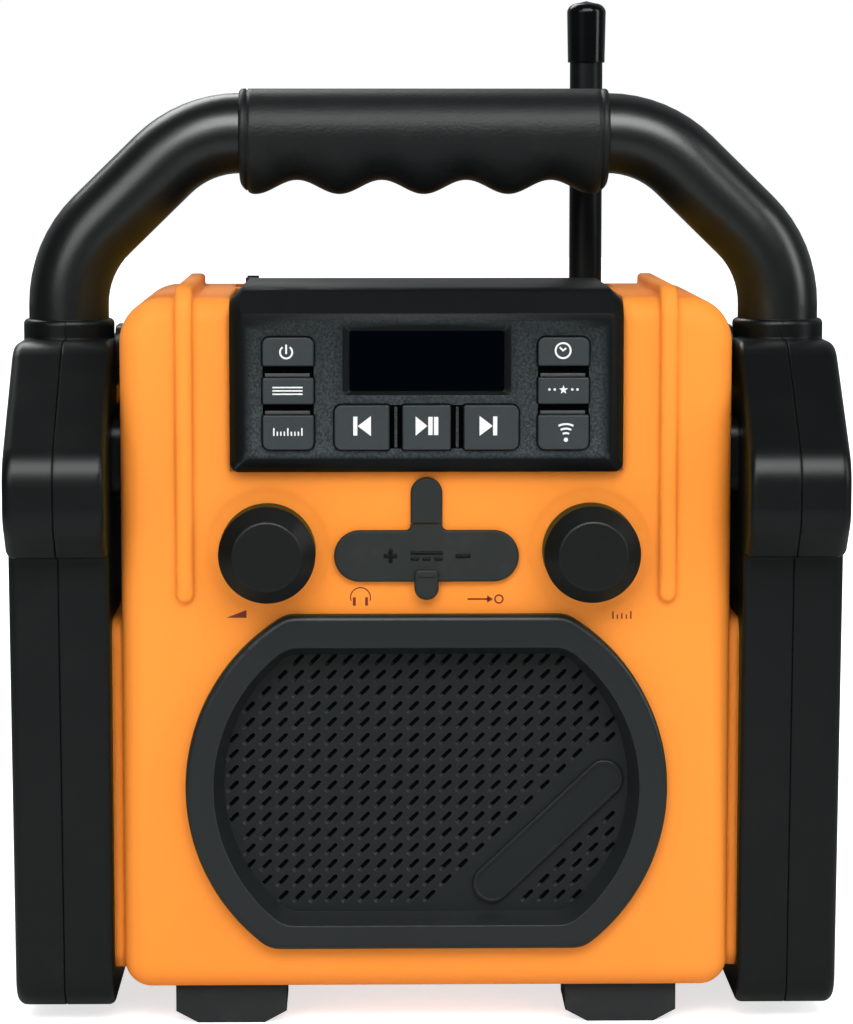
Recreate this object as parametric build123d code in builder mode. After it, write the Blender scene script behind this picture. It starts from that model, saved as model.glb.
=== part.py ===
"""Jobsite radio: an orange two-part housing carried between two side frames and a tube handle.

Millimetres. X runs to the right of the front, Y to the back, Z up. Z = 0 is the ground under the
rubber feet and X = 0 is the middle of the housing. The axis of the handle tube lies at Y = 0.
"""
from build123d import *
import os

os.makedirs("parts", exist_ok=True)

# ---------------------------------------------------------------- driving dimensions
# fits
FIT = 0.15            # gap each side between fixed pieces that slot into each other
RUN = 0.30            # gap between a moving piece and its neighbours
SHAFT_FIT = 0.05      # radial clearance of a shaft or pin that turns in its hole
SCREW_FIT = 0.02      # radial clearance of a screw in its boss
WELL_FIT = 0.5        # clearance around an antenna lying in its well

# housing
BODY_W = 177.2        # width of the housing
BODY_Z0 = 11.3        # underside
BODY_Z1 = 214.0       # top
BODY_FRONT = -44.0    # front face
BODY_BACK = 56.0      # rear face
SPLIT_Y = 6.0         # parting plane of the two shells
WALL = 2.6            # shell wall
CORNER_TOP = 13.0     # upper corners seen from the front
CORNER_BOTTOM = 8.0   # lower corners seen from the front
EDGE_R = 7.0          # rounding of the front and rear edges
GASKET_T = 1.0        # width and thickness of the seal in the parting plane
GASKET_IN = 0.8       # seal behind the outer surface

# ribs that run up the front and over the top
RIDGE_X = 69.8
RIDGE_W = 5.0
RIDGE_OUT = 2.2       # height above the front face
RIDGE_UP = 3.4        # height above the top
RIDGE_Z0 = 126.0      # lower end
RIDGE_BACK = 46.0     # rear end
RIDGE_FOOT = 0.9      # soft foot and shoulders
RIDGE_SHOULDER = 1.25

# control panel
PANEL_W = 113.0
PANEL_Z0 = 164.2      # lower edge
PANEL_FACE = -51.5    # front face
PANEL_TOP = 217.0     # upper face
PANEL_BACK = 20.0     # rear edge on top of the housing
PANEL_BEVEL = 3.9
PANEL_EDGE_R = 10.0   # rounding between the face and the top
PANEL_CORNER_R = 2.5  # lower corners
PANEL_SEAT = 1.2      # depth of the seat in the housing
PANEL_WALL = 2.4
PANEL_BAY_W = 100.6   # hollow behind the face
PANEL_BAY_Z0 = 167.4
PANEL_BAY_Z1 = 210.6
HATCH_W = 92.0        # opening in the housing behind the panel
HATCH_Z0 = 171.0
HATCH_Z1 = 204.0
BAY_R = 1.0           # corners of the hollow and of the board in it
POST_IN = 1.4         # posts on the board, in from the walls of the hollow
POST_R = 1.1
TAB_W = 2.4           # panel snap tabs
TAB_H = 8.0
TAB_X = 54.0
TAB_Z = (182.0, 200.0)

# display
WINDOW_W = 44.4
WINDOW_H = 17.2
WINDOW_Z = 196.3
WINDOW_R = 0.8
WINDOW_SIDE = 2.05    # sloped rim around the window: sides, top and bottom
WINDOW_UPPER = 2.6
WINDOW_LOWER = 1.2
WINDOW_SINK = 1.2     # depth of the rim
LENS_FACE = 1.25      # lens face below the panel face
LENS_T = 1.0
DISPLAY_W = 48.0
DISPLAY_H = 21.6

# push buttons: name, centre X, centre Z, width, height, side of its group with round corners
BUTTONS = [
    ("button_power", -39.6, 199.1, 14.8, 8.3, "top"),
    ("button_mode", -39.6, 187.9, 14.8, 7.7, "none"),
    ("button_scan", -39.6, 176.0, 14.8, 10.1, "bottom"),
    ("button_clock", 39.0, 199.1, 14.8, 8.3, "top"),
    ("button_program", 39.0, 187.9, 14.8, 7.7, "none"),
    ("button_wireless", 39.0, 176.0, 14.8, 10.1, "bottom"),
    ("button_previous", -18.6, 177.4, 15.9, 13.0, "left"),
    ("button_play", -0.1, 177.4, 14.0, 13.0, "none"),
    ("button_next", 18.4, 177.4, 15.9, 13.0, "right"),
]
BUTTON_PROUD = 1.7    # height above the panel face
BUTTON_R = 2.2        # corners at the outside of a group
BUTTON_SHARP = 0.7    # corners between the buttons of a group
BUTTON_EDGE = 0.5
BUTTON_FLANGE = 0.8   # flange around the cap, behind the panel
BUTTON_FLANGE_T = 0.9
BUTTON_TRAVEL = 1.0
BOARD_T = 1.6
SWITCH_SIZE = 6.0
SWITCH_BODY = 2.0
SWITCH_PLUNGER_R = 1.6

# knobs, volume left and tuning right
KNOB_LEFT = -45.85
KNOB_RIGHT = 47.35
KNOB_Z = 141.1
KNOB_R = 13.9
KNOB_FACE_R = 9.8
KNOB_GAP = 1.2        # gap between the knob and the housing
KNOB_SIDE = 11.0      # length of the cylindrical side
KNOB_CONE = 4.5       # length of the bevel in front of it
KNOB_SKIRT = 11.6     # radius of the hollow behind the knob
KNOB_SKIRT_DEPTH = 6.0
KNOB_HUB_R = 5.0
SHAFT_R = 3.0
BUSHING_R = 4.5
BUSHING_OUT = 2.6     # bushing length in front of the housing
NUT_R = 6.6
NUT_T = 2.0
POT_R = 8.5
POT_DEPTH = 9.5
KNOB_DISH_R = 17.0    # shallow dish in the housing around each knob
KNOB_DISH = 0.3
KNOB_DISH_SLOPE = 75.0

# port recess and its rubber cover
PORT_Z = 139.55
COVER_W = 53.4
COVER_H = 14.9
COVER_T = 1.8
COVER_RIM = 1.4       # depth of the plug rim
COVER_RIM_T = 1.2
RIM_FIT = 0.5         # gap between the plug rim and the recess, as it swings out
PORT_INSET = 2.1      # recess smaller than the cover, each side
PORT_DEPTH = 4.8
PORT_BACK_WALL = 1.8
STEM_W = 9.2
STEM_TOP = 162.3
STEM_GAP = 0.4        # gap at the hinge line between stem and cover
NECK = 1.8            # flared neck of the cover, up to the hinge line
NECK_R = 1.5
PULL_W = 7.0
PULL_Z0 = 127.0
PULL_Z1 = 135.8
PULL_T = 1.7
PULL_EDGE = 0.9
STEM_PIN_R = 2.0
STEM_PIN_Z = 157.0
JACK_R = 1.8          # 3.5 mm jack
JACK_DEPTH = 14.0
JACK_COLLAR_R = 3.0
JACK_BODY_W = 9.0
PHONE_X = -19.2
AUX_X = 16.9
USB_W = 13.2
USB_H = 5.8
USB_T = 0.5
USB_DEPTH = 14.0
USB_TONGUE = 1.9

# speaker, its bezel, grille and name plate
SPK_Z = 72.7
RING_R = 58.5         # side arcs of the bezel
RING_ARC_X = 11.5     # centres of the side arcs
RING_ARC_Z = 71.8
RING_TOP = 122.6
RING_LOW = 24.3
RING_UPPER = 1.15     # inset above and below, per inset at the sides
RING_LOWER = 0.87
RING_W = 8.0          # width of the bezel face
RING_CORNER = 9.0
RING_OUT = 4.6        # height above the housing
RING_EDGE = 1.8
RECESS_INSET = 8.6    # recess in the housing, in from the bezel outline
GRILLE_INSET = 11.0   # visible grille, in from the bezel outline
GRILLE_DEPTH = 5.0    # grille face behind the housing face
GRILLE_T = 1.6
SLOT_PITCH_X = 4.79
SLOT_PITCH_Z = 4.68
SLOT_COLS = 25
SLOT_ROWS = 16
SLOT_X0 = 0.91        # middle column
SLOT_Z0 = 38.14       # lowest row
SLOT_L = 4.6
SLOT_W = 1.1
SLOT_LAND = 0.3       # slot centres, in from the edge of the visible grille
PLATE_A = (19.2, 41.9)   # centres of the ends of the plate
PLATE_B = (52.1, 73.1)
PLATE_R = 5.6
PLATE_CLEAR = 7.5     # band without slots on each side of the plate's axis
PLATE_T = 1.4
PLATE_RIM = 1.1       # raised border of the name plate
PLATE_SINK = 0.5      # field below the border
BAFFLE_T = 2.4
SPK_HOLE_R = 36.5
SPK_FLANGE_R = 42.0
SPK_FLANGE_T = 2.0
SPK_DEPTH = 24.0      # flange to back plate
SPK_MAGNET_R = 22.0
SPK_MAGNET_T = 11.0
SPK_POLE_R = 8.6
CONE_R = 30.0
CONE_NECK_R = 9.4
CONE_T = 0.7
CONE_DEPTH = 13.0
DUST_R = 10.8         # dust cap, a shallow dome
DUST_H = 4.4
SURROUND_R = 2.3

# antenna with a fold-down pivot in a well behind the handle
ANT_X = 50.5
ANT_Y = 35.0
PIVOT_Z = 198.0
ANT_R = 5.0
ANT_TOP = 283.2       # shoulder under the cap
CAP_TOP = 301.1
CAP_Z0 = 282.4
CAP_R = 5.95
ANT_NECK_R = 3.4
TONGUE_T = 6.8
TONGUE_L = 6.8        # pivot to the start of the round rod
CHEEK_R = 6.0
CHEEK_T = 4.8
PIVOT_PIN_R = 1.6
WELL_W = 18.0
WELL_Z0 = 191.0
WELL_X0 = -57.5
WELL_X1 = 58.5
WELL_WALL = 2.2
WELL_R = 2.0
CLIP_X = -52.4
CLIP_L = 3.6
CLIP_T = 1.8
CLIP_TOP = 216.8

# handle
LEG_X = 106.1         # tube legs and seam of the side frames
TUBE_R = 11.9
TUBE_WALL = 2.0
TUBE_Z = 260.9        # axis of the grip
TUBE_BEND_Z = 224.0   # kink above the leg
TUBE_BEND_X = 68.1    # kink beside the grip
TUBE_BEND_R = 33.0
TUBE_Z0 = 150.0       # lower end inside the frames
GRIP_W = 109.8
GRIP_R = 13.2
GRIP_BUMPS = 25.2     # pitch of the finger bumps
GRIP_LOW = 18.1       # bumps below the axis
GRIP_CREST = 13.9     # hollows below the axis
GRIP_WEB = 9.0        # half thickness of the finger web

# side frames
FRAME_IN = 91.6       # inner face, the outer face lies as far beyond the seam
FRAME_WALL = 2.8
FRAME_EDGE = 3.0
FRAME_Z0 = 4.5
FRAME_SHOULDER = 200.2
FRAME_FRONT = -64.3   # bulge
FRAME_BACK = 64.3
FRAME_STEP_Z = 139.2
BULGE_Z0 = 150.5
BULGE_Z1 = 168.0
BULGE_R = 14.0
LEG_FRONT = -48.3
LEG_BACK = 48.3
LEG_LEAN = 7.2        # the legs lean in towards the foot
WIN_Y0 = -24.0        # window of the frame
WIN_Y1 = 24.0
WIN_Z0 = 30.0
WIN_Z1 = 118.0
WIN_R = 10.0
COLLAR_R = 13.5
COLLAR_TOP = 205.9
CLAMP_HALF = 17.0     # half depth of the block that holds the tube
CLAMP_Z0 = 146.0
SEAM_GROOVE = 0.4
PAD_Z0 = 15.6
PAD_Z1 = 119.8
PAD_Y0 = -37.0
PAD_Y1 = 39.0
PAD_R = 6.0
SPACER_Z = (155.0, 178.0)
SPACER_Y = (-33.0, 33.0)
STOP_HALF = 8.0                 # orange block between the two spacers
STOP_Z = (180.5, 186.5)
SPACER_TOP_Z = (191.5, 204.0)   # upper spacer beside the collar, round at its top
SPACER_TOP_Y = (-12.0, 12.0)
BOLT_R = 2.0
BOLT_HEAD_R = 3.6
BOLT_HEAD_T = 2.6
BOLT_TIP = 6.0        # bolt length inside the housing wall
BOLTS = [(-33.0, 62.0), (-33.0, 96.0), (33.0, 62.0), (33.0, 96.0), (-28.0, 167.0), (28.0, 167.0)]
FSCREWS = [(-32.5, 38.0), (-35.0, 126.0), (32.5, 38.0), (35.0, 126.0), (0.0, 132.0)]
FSCREW_R = 1.5
FSCREW_HEAD_R = 2.8
FSCREW_HEAD_T = 2.2
FSCREW_BOSS_R = 4.6
FSCREW_L = 16.0
FSCREW_SEAT = 5.0     # head seat below the outer face

# housing screws, from the rear
HSCREWS = [(-76.0, 26.0), (76.0, 26.0), (-76.0, 134.0), (76.0, 134.0), (-76.0, 200.0), (76.0, 200.0)]
HSCREW_R = 1.5
HSCREW_HEAD_R = 2.9
HSCREW_HEAD_T = 2.2
HSCREW_SEAT = 16.0    # screw head seat behind the parting plane
HSCREW_L = 28.0
HBOSS_R = 4.6

# feet
FOOT_X = 57.4
FOOT_W = 32.6
FOOT_CUT_X = 6.5      # sloped lower corners
FOOT_CUT_Z = 3.5
FOOT_L = 24.0
FOOT_Y = (-25.5, 37.5)
FOOT_PLUG_R = 3.0

# battery bay and door
BAY_W = 110.0
BAY_Z0 = 28.0
BAY_Z1 = 86.0
BAY_DEPTH = 31.0
BAY_WALL = 2.0
CELL_R = 13.1
CELL_L = 50.0
DOOR_T = 2.2
DOOR_AXIS_Z = 30.2
DOOR_AXIS_Y = 54.2
DOOR_KNUCKLE_R = 1.8
DOOR_PIN_R = 1.0
DOOR_PIN_L = 1.6
LATCH_W = 16.0

# rear inlet and electronics
INLET_X = -69.0
INLET_Z = 48.0
INLET_R = 2.8
INLET_COLLAR_R = 5.0
INLET_DEPTH = 10.0
INLET_PIN_R = 0.9
MAIN_W = 112.0
MAIN_Z = (120.0, 162.0)
MAIN_Y = 14.0
BOARD_POST_R = 3.5


# ---------------------------------------------------------------- helpers
def front_plane(y):
    """Sketch plane square to Y at depth y: sketch x = X, sketch y = Z, extrude goes forward."""
    return Plane.XZ.offset(-y)


def side_plane(x):
    """Sketch plane square to X: sketch x = Y, sketch y = Z, extrude goes to +X."""
    return Plane.YZ.offset(x)


def save(node, name):
    node.part.label = name
    export_step(node.part, f"parts/{name}.step")


def polygon(plane, corners):
    """Closed face through corners given as (u, v, corner radius)."""
    with BuildSketch(plane) as s:
        with BuildLine():
            Polyline(*[(u, v) for u, v, r in corners], close=True)
        make_face()
        for u, v, r in corners:
            if r > 0:
                fillet(s.vertices().sort_by_distance((u, v, 0))[0], r)
    return s.sketch


def rect(plane, u0, u1, v0, v1, r=0.0):
    """Rectangle between two corners, its own corners rounded by r."""
    with BuildSketch(plane) as s:
        with Locations(((u0 + u1) / 2, (v0 + v1) / 2)):
            if r > 0:
                RectangleRounded(u1 - u0, v1 - v0, r)
            else:
                Rectangle(u1 - u0, v1 - v0)
    return s.sketch


def discs(plane, points, r, hole=0.0):
    """Discs, or rings, of one size at several places."""
    with BuildSketch(plane) as s:
        with Locations(*points):
            Circle(r)
            if hole > 0:
                Circle(hole, mode=Mode.SUBTRACT)
    return s.sketch


def body_outline(y, inset=0.0):
    """Outline of the housing seen from the front."""
    with BuildSketch(front_plane(y)) as s:
        with Locations((0, (BODY_Z0 + BODY_Z1) / 2)):
            Rectangle(BODY_W - 2 * inset, BODY_Z1 - BODY_Z0 - 2 * inset)
        fillet(s.vertices().group_by(Axis.Y)[-1], CORNER_TOP - inset)
        fillet(s.vertices().group_by(Axis.Y)[0], CORNER_BOTTOM - inset)
    return s.sketch


def ring_outline(y, inset=0.0):
    """Speaker outline: two side arcs cut flat above and below. Insets run wider above than below."""
    top, low = RING_TOP - RING_UPPER * inset, RING_LOW + RING_LOWER * inset
    with BuildSketch(front_plane(y)) as s:
        with Locations((-RING_ARC_X, RING_ARC_Z), (RING_ARC_X, RING_ARC_Z)):
            Circle(RING_R - inset)
        with Locations((0, RING_ARC_Z)):
            Rectangle(2 * RING_ARC_X, 2 * (RING_R - inset))
        with Locations((0, (top + low) / 2)):
            Rectangle(4 * RING_R, top - low, mode=Mode.INTERSECT)
        fillet(s.vertices(), RING_CORNER)
    return s.sketch


def pill(y, inset=0.0):
    """Outline of the port cover."""
    with BuildSketch(front_plane(y)) as s:
        with Locations((0, PORT_Z)):
            RectangleRounded(COVER_W - 2 * inset, COVER_H - 2 * inset, (COVER_H - 2 * inset) / 2 - 0.01)
    return s.sketch


def add_ridges(corners, end_plane, end_spot, length):
    """Both ribs, on the housing being built: a bar from its side outline and a round end."""
    for x in (-RIDGE_X, RIDGE_X):
        extrude(polygon(side_plane(x), corners), amount=RIDGE_W / 2, both=True)
        extrude(discs(end_plane, [(x, end_spot)], RIDGE_W / 2), amount=length)


def height_over_housing(point):
    """Height of a point over the housing's front, rounded edge or top."""
    edge_y, edge_z = BODY_FRONT + EDGE_R, BODY_Z1 - EDGE_R
    if point.Y < edge_y and point.Z > edge_z:
        return ((point.Y - edge_y) ** 2 + (point.Z - edge_z) ** 2) ** 0.5 - EDGE_R
    return point.Z - BODY_Z1 if point.Z > edge_z else BODY_FRONT - point.Y


def ridge_edges(housing, low, high):
    """Edges of the ribs whose height over the housing lies between two values."""
    return housing.edges().filter_by(
        lambda e: abs(abs(e.center().X) - RIDGE_X) < RIDGE_W / 2 + 0.02 and abs(e.center().Y - SPLIT_Y) > 0.05
        and e.center().Z > RIDGE_Z0 - 1 and low < height_over_housing(e.center()) < high)


def soften_ridges(housing):
    """Concave blend at the foot of the ribs, then round shoulders."""
    fillet(ridge_edges(housing, -0.3, 0.3), RIDGE_FOOT)
    fillet(ridge_edges(housing, RIDGE_OUT - 0.4, RIDGE_UP + 0.4), RIDGE_SHOULDER)


# ---------------------------------------------------------------- housing
seat_y = BODY_FRONT + PANEL_SEAT          # panel seat on the front
seat_z = BODY_Z1 - PANEL_SEAT             # panel seat on the top
inner_front = BODY_FRONT + WALL
inner_side = BODY_W / 2 - WALL
grille_face = BODY_FRONT + GRILLE_DEPTH
grille_back = grille_face + GRILLE_T
baffle_back = grille_back + BAFFLE_T
port_floor = BODY_FRONT + PORT_DEPTH
port_back = port_floor + PORT_BACK_WALL
front_bolts = [b for b in BOLTS if b[0] < SPLIT_Y]
rear_bolts = [b for b in BOLTS if b[0] > SPLIT_Y]
board_posts = [(x, z) for x in (-MAIN_W / 2 + 6, MAIN_W / 2 - 6) for z in (MAIN_Z[0] + 6, MAIN_Z[1] - 6)]


def side_bosses(places):
    """Bosses inside a shell that take the frame bolts."""
    for side in (1, -1):
        depth = BOLT_TIP + 2.0
        plane = side_plane(side * inner_side)
        extrude(discs(plane, places, BOLT_R + 3.0), amount=-side * depth)
        extrude(discs(plane.offset(side * WALL), places, BOLT_R + SCREW_FIT),
                amount=-side * (WALL + BOLT_TIP + SCREW_FIT), mode=Mode.SUBTRACT)


def panel_seat():
    """Seat that the control panel fills on the front and the top."""
    half = PANEL_W / 2 + FIT
    reach = 20.0
    with BuildPart() as s:
        extrude(rect(front_plane(seat_y), -half, half, PANEL_Z0 - FIT, BODY_Z1 + reach), amount=reach)
        extrude(rect(front_plane(PANEL_BACK + FIT), -half, half, seat_z, BODY_Z1 + reach),
                amount=PANEL_BACK + FIT - seat_y)
    return s.part


with BuildPart() as shell_gasket:
    extrude(body_outline(SPLIT_Y + GASKET_T / 2, GASKET_IN), amount=GASKET_T)
    extrude(body_outline(SPLIT_Y + GASKET_T / 2, GASKET_IN + GASKET_T), amount=GASKET_T, mode=Mode.SUBTRACT)
    add(panel_seat(), mode=Mode.SUBTRACT)
save(shell_gasket, "shell_gasket")

with BuildPart() as front_shell:
    extrude(body_outline(SPLIT_Y), amount=SPLIT_Y - BODY_FRONT)
    fillet(front_shell.faces().sort_by(Axis.Y)[0].edges(), EDGE_R)
    end_z = RIDGE_Z0 + RIDGE_W / 2
    add_ridges([
        (BODY_FRONT - RIDGE_OUT, end_z, 0),
        (BODY_FRONT - RIDGE_OUT, BODY_Z1 + RIDGE_UP, EDGE_R + RIDGE_OUT),
        (SPLIT_Y, BODY_Z1 + RIDGE_UP, 0),
        (SPLIT_Y, BODY_Z1 - EDGE_R, 0),
        (BODY_FRONT + EDGE_R, BODY_Z1 - EDGE_R, 0),
        (BODY_FRONT + EDGE_R, end_z, 0)], front_plane(BODY_FRONT + EDGE_R), end_z, EDGE_R + RIDGE_OUT)
    soften_ridges(front_shell)
    with BuildPart(mode=Mode.PRIVATE) as hollow:
        extrude(body_outline(SPLIT_Y, WALL), amount=SPLIT_Y - inner_front)
        fillet(hollow.faces().sort_by(Axis.Y)[0].edges(), EDGE_R - WALL)
    add(hollow.part, mode=Mode.SUBTRACT)
    # walls of the speaker recess and the port recess
    extrude(ring_outline(baffle_back, RECESS_INSET - BAFFLE_T), amount=baffle_back - inner_front + 0.5)
    extrude(pill(port_back, PORT_INSET - 1.8), amount=port_back - inner_front + 0.5)
    extrude(ring_outline(grille_back, RECESS_INSET), amount=20, mode=Mode.SUBTRACT)
    extrude(discs(front_plane(baffle_back), [(0, SPK_Z)], SPK_HOLE_R), amount=BAFFLE_T * 2,
            mode=Mode.SUBTRACT)
    extrude(pill(port_floor, PORT_INSET), amount=20, mode=Mode.SUBTRACT)
    jacks = [(PHONE_X, PORT_Z), (AUX_X, PORT_Z)]
    extrude(discs(front_plane(port_back), jacks, JACK_COLLAR_R + FIT), amount=PORT_BACK_WALL * 2,
            mode=Mode.SUBTRACT)
    extrude(rect(front_plane(port_back), -USB_W / 2 - FIT, USB_W / 2 + FIT, PORT_Z - USB_H / 2 - FIT,
                 PORT_Z + USB_H / 2 + FIT), amount=PORT_BACK_WALL * 2, mode=Mode.SUBTRACT)
    extrude(discs(front_plane(inner_front), [(0, STEM_PIN_Z)], STEM_PIN_R + FIT), amount=WALL * 2,
            mode=Mode.SUBTRACT)
    # knob dishes and shaft holes
    knobs = [(KNOB_LEFT, KNOB_Z), (KNOB_RIGHT, KNOB_Z)]
    extrude(discs(front_plane(BODY_FRONT + KNOB_DISH), knobs, KNOB_DISH_R), amount=KNOB_DISH,
            taper=-KNOB_DISH_SLOPE, mode=Mode.SUBTRACT)
    extrude(discs(front_plane(inner_front), knobs, BUSHING_R + FIT), amount=WALL * 2, mode=Mode.SUBTRACT)
    # panel seat, hatch and snap slots
    add(panel_seat(), mode=Mode.SUBTRACT)
    extrude(rect(front_plane(inner_front + 1), -HATCH_W / 2, HATCH_W / 2, HATCH_Z0, HATCH_Z1), amount=6,
            mode=Mode.SUBTRACT)
    for x in (-TAB_X, TAB_X):
        for z in TAB_Z:
            extrude(rect(front_plane(inner_front + 1), x - TAB_W / 2 - FIT, x + TAB_W / 2 + FIT,
                         z - TAB_H / 2 - FIT, z + TAB_H / 2 + FIT), amount=6, mode=Mode.SUBTRACT)
    # screw bosses
    extrude(discs(front_plane(SPLIT_Y), HSCREWS, HBOSS_R), amount=SPLIT_Y - inner_front + 0.5)
    extrude(discs(front_plane(SPLIT_Y), HSCREWS, HSCREW_R + SCREW_FIT),
            amount=HSCREW_L - HSCREW_SEAT + 1, mode=Mode.SUBTRACT)
    side_bosses(front_bolts)
    foot_holes = [(x, FOOT_Y[0]) for x in (-FOOT_X, FOOT_X)]
    extrude(discs(Plane.XY, foot_holes, FOOT_PLUG_R), amount=BODY_Z0 + WALL * 2, mode=Mode.SUBTRACT)
    add(shell_gasket.part, mode=Mode.SUBTRACT)
save(front_shell, "front_shell")

with BuildPart() as rear_shell:
    extrude(body_outline(SPLIT_Y), amount=SPLIT_Y - BODY_BACK)
    fillet(rear_shell.faces().sort_by(Axis.Y)[-1].edges(), EDGE_R)
    end_y = RIDGE_BACK - RIDGE_W / 2
    add_ridges([
        (SPLIT_Y, BODY_Z1 + RIDGE_UP, 0),
        (end_y, BODY_Z1 + RIDGE_UP, 0),
        (end_y, BODY_Z1 - EDGE_R, 0),
        (SPLIT_Y, BODY_Z1 - EDGE_R, 0)], Plane.XY.offset(BODY_Z1 - EDGE_R), end_y, EDGE_R + RIDGE_UP)
    soften_ridges(rear_shell)
    with BuildPart(mode=Mode.PRIVATE) as hollow:
        extrude(body_outline(SPLIT_Y, WALL), amount=SPLIT_Y - BODY_BACK + WALL)
        fillet(hollow.faces().sort_by(Axis.Y)[-1].edges(), EDGE_R - WALL)
    add(hollow.part, mode=Mode.SUBTRACT)
    # battery bay
    bay_floor = BODY_BACK - BAY_DEPTH
    extrude(rect(front_plane(BODY_BACK - 1), -BAY_W / 2 - BAY_WALL, BAY_W / 2 + BAY_WALL,
                 BAY_Z0 - BAY_WALL, BAY_Z1 + BAY_WALL), amount=BAY_DEPTH + BAY_WALL - 1)
    extrude(rect(front_plane(BODY_BACK + 1), -BAY_W / 2, BAY_W / 2, BAY_Z0, BAY_Z1),
            amount=BAY_DEPTH + 1, mode=Mode.SUBTRACT)
    hinge_ends = BAY_W / 2 - RUN
    for side in (-1, 1):
        extrude(discs(side_plane(side * (BAY_W / 2 - 0.1)), [(DOOR_AXIS_Y, DOOR_AXIS_Z)],
                      DOOR_PIN_R + SHAFT_FIT), amount=side * (DOOR_PIN_L + 0.1), mode=Mode.SUBTRACT)
    # antenna well
    well_y0 = ANT_Y - WELL_W / 2
    well_y1 = ANT_Y + WELL_W / 2
    extrude(rect(Plane.XY.offset(WELL_Z0 - WELL_WALL), WELL_X0 - WELL_WALL, WELL_X1 + WELL_WALL,
                 well_y0 - WELL_WALL, well_y1 + WELL_WALL), amount=BODY_Z1 - WELL_Z0)
    extrude(rect(Plane.XY.offset(WELL_Z0), WELL_X0, WELL_X1, well_y0, well_y1, WELL_R), amount=60,
            mode=Mode.SUBTRACT)
    add(panel_seat(), mode=Mode.SUBTRACT)
    # inlet hole, screw bosses with deep head seats, frame bolt bosses, foot holes
    extrude(discs(front_plane(BODY_BACK + 1), [(INLET_X, INLET_Z)], INLET_COLLAR_R + FIT),
            amount=WALL * 2, mode=Mode.SUBTRACT)
    extrude(discs(front_plane(BODY_BACK - WALL / 2), HSCREWS, HBOSS_R),
            amount=BODY_BACK - WALL / 2 - SPLIT_Y)
    extrude(discs(front_plane(BODY_BACK + 1), HSCREWS, HSCREW_R + FIT), amount=BODY_BACK + 2 - SPLIT_Y,
            mode=Mode.SUBTRACT)
    extrude(discs(front_plane(BODY_BACK + 1), HSCREWS, HSCREW_HEAD_R + FIT),
            amount=BODY_BACK + 1 - SPLIT_Y - HSCREW_SEAT, mode=Mode.SUBTRACT)
    side_bosses(rear_bolts)
    extrude(discs(front_plane(BODY_BACK - WALL / 2), board_posts, BOARD_POST_R),
            amount=BODY_BACK - WALL / 2 - MAIN_Y - BOARD_T)
    extrude(discs(front_plane(MAIN_Y + 12), board_posts, HSCREW_R + SCREW_FIT), amount=20,
            mode=Mode.SUBTRACT)
    extrude(discs(Plane.XY, [(x, FOOT_Y[1]) for x in (-FOOT_X, FOOT_X)], FOOT_PLUG_R),
            amount=BODY_Z0 + WALL * 2, mode=Mode.SUBTRACT)
    add(shell_gasket.part, mode=Mode.SUBTRACT)
save(rear_shell, "rear_shell")

with BuildPart() as housing_screws:
    seat = SPLIT_Y + HSCREW_SEAT
    extrude(discs(front_plane(seat + HSCREW_HEAD_T), HSCREWS, HSCREW_HEAD_R), amount=HSCREW_HEAD_T)
    extrude(discs(front_plane(seat), HSCREWS, HSCREW_R), amount=HSCREW_L)
save(housing_screws, "housing_screws")

# ---------------------------------------------------------------- control panel
face_back = PANEL_FACE + PANEL_WALL
board_y = seat_y - BOARD_T
half_panel = PANEL_W / 2


def button_outline(y, button, grow=0.0):
    """Outline of a button: large corners on the outer side of its group, small ones elsewhere."""
    name, x, z, w, h, outer = button
    big, small = BUTTON_R + grow, BUTTON_SHARP + grow
    left, right, low, high = x - w / 2 - grow, x + w / 2 + grow, z - h / 2 - grow, z + h / 2 + grow
    return polygon(front_plane(y), [
        (left, low, big if outer in ("left", "bottom") else small),
        (right, low, big if outer in ("right", "bottom") else small),
        (right, high, big if outer in ("right", "top") else small),
        (left, high, big if outer in ("left", "top") else small)])


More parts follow.
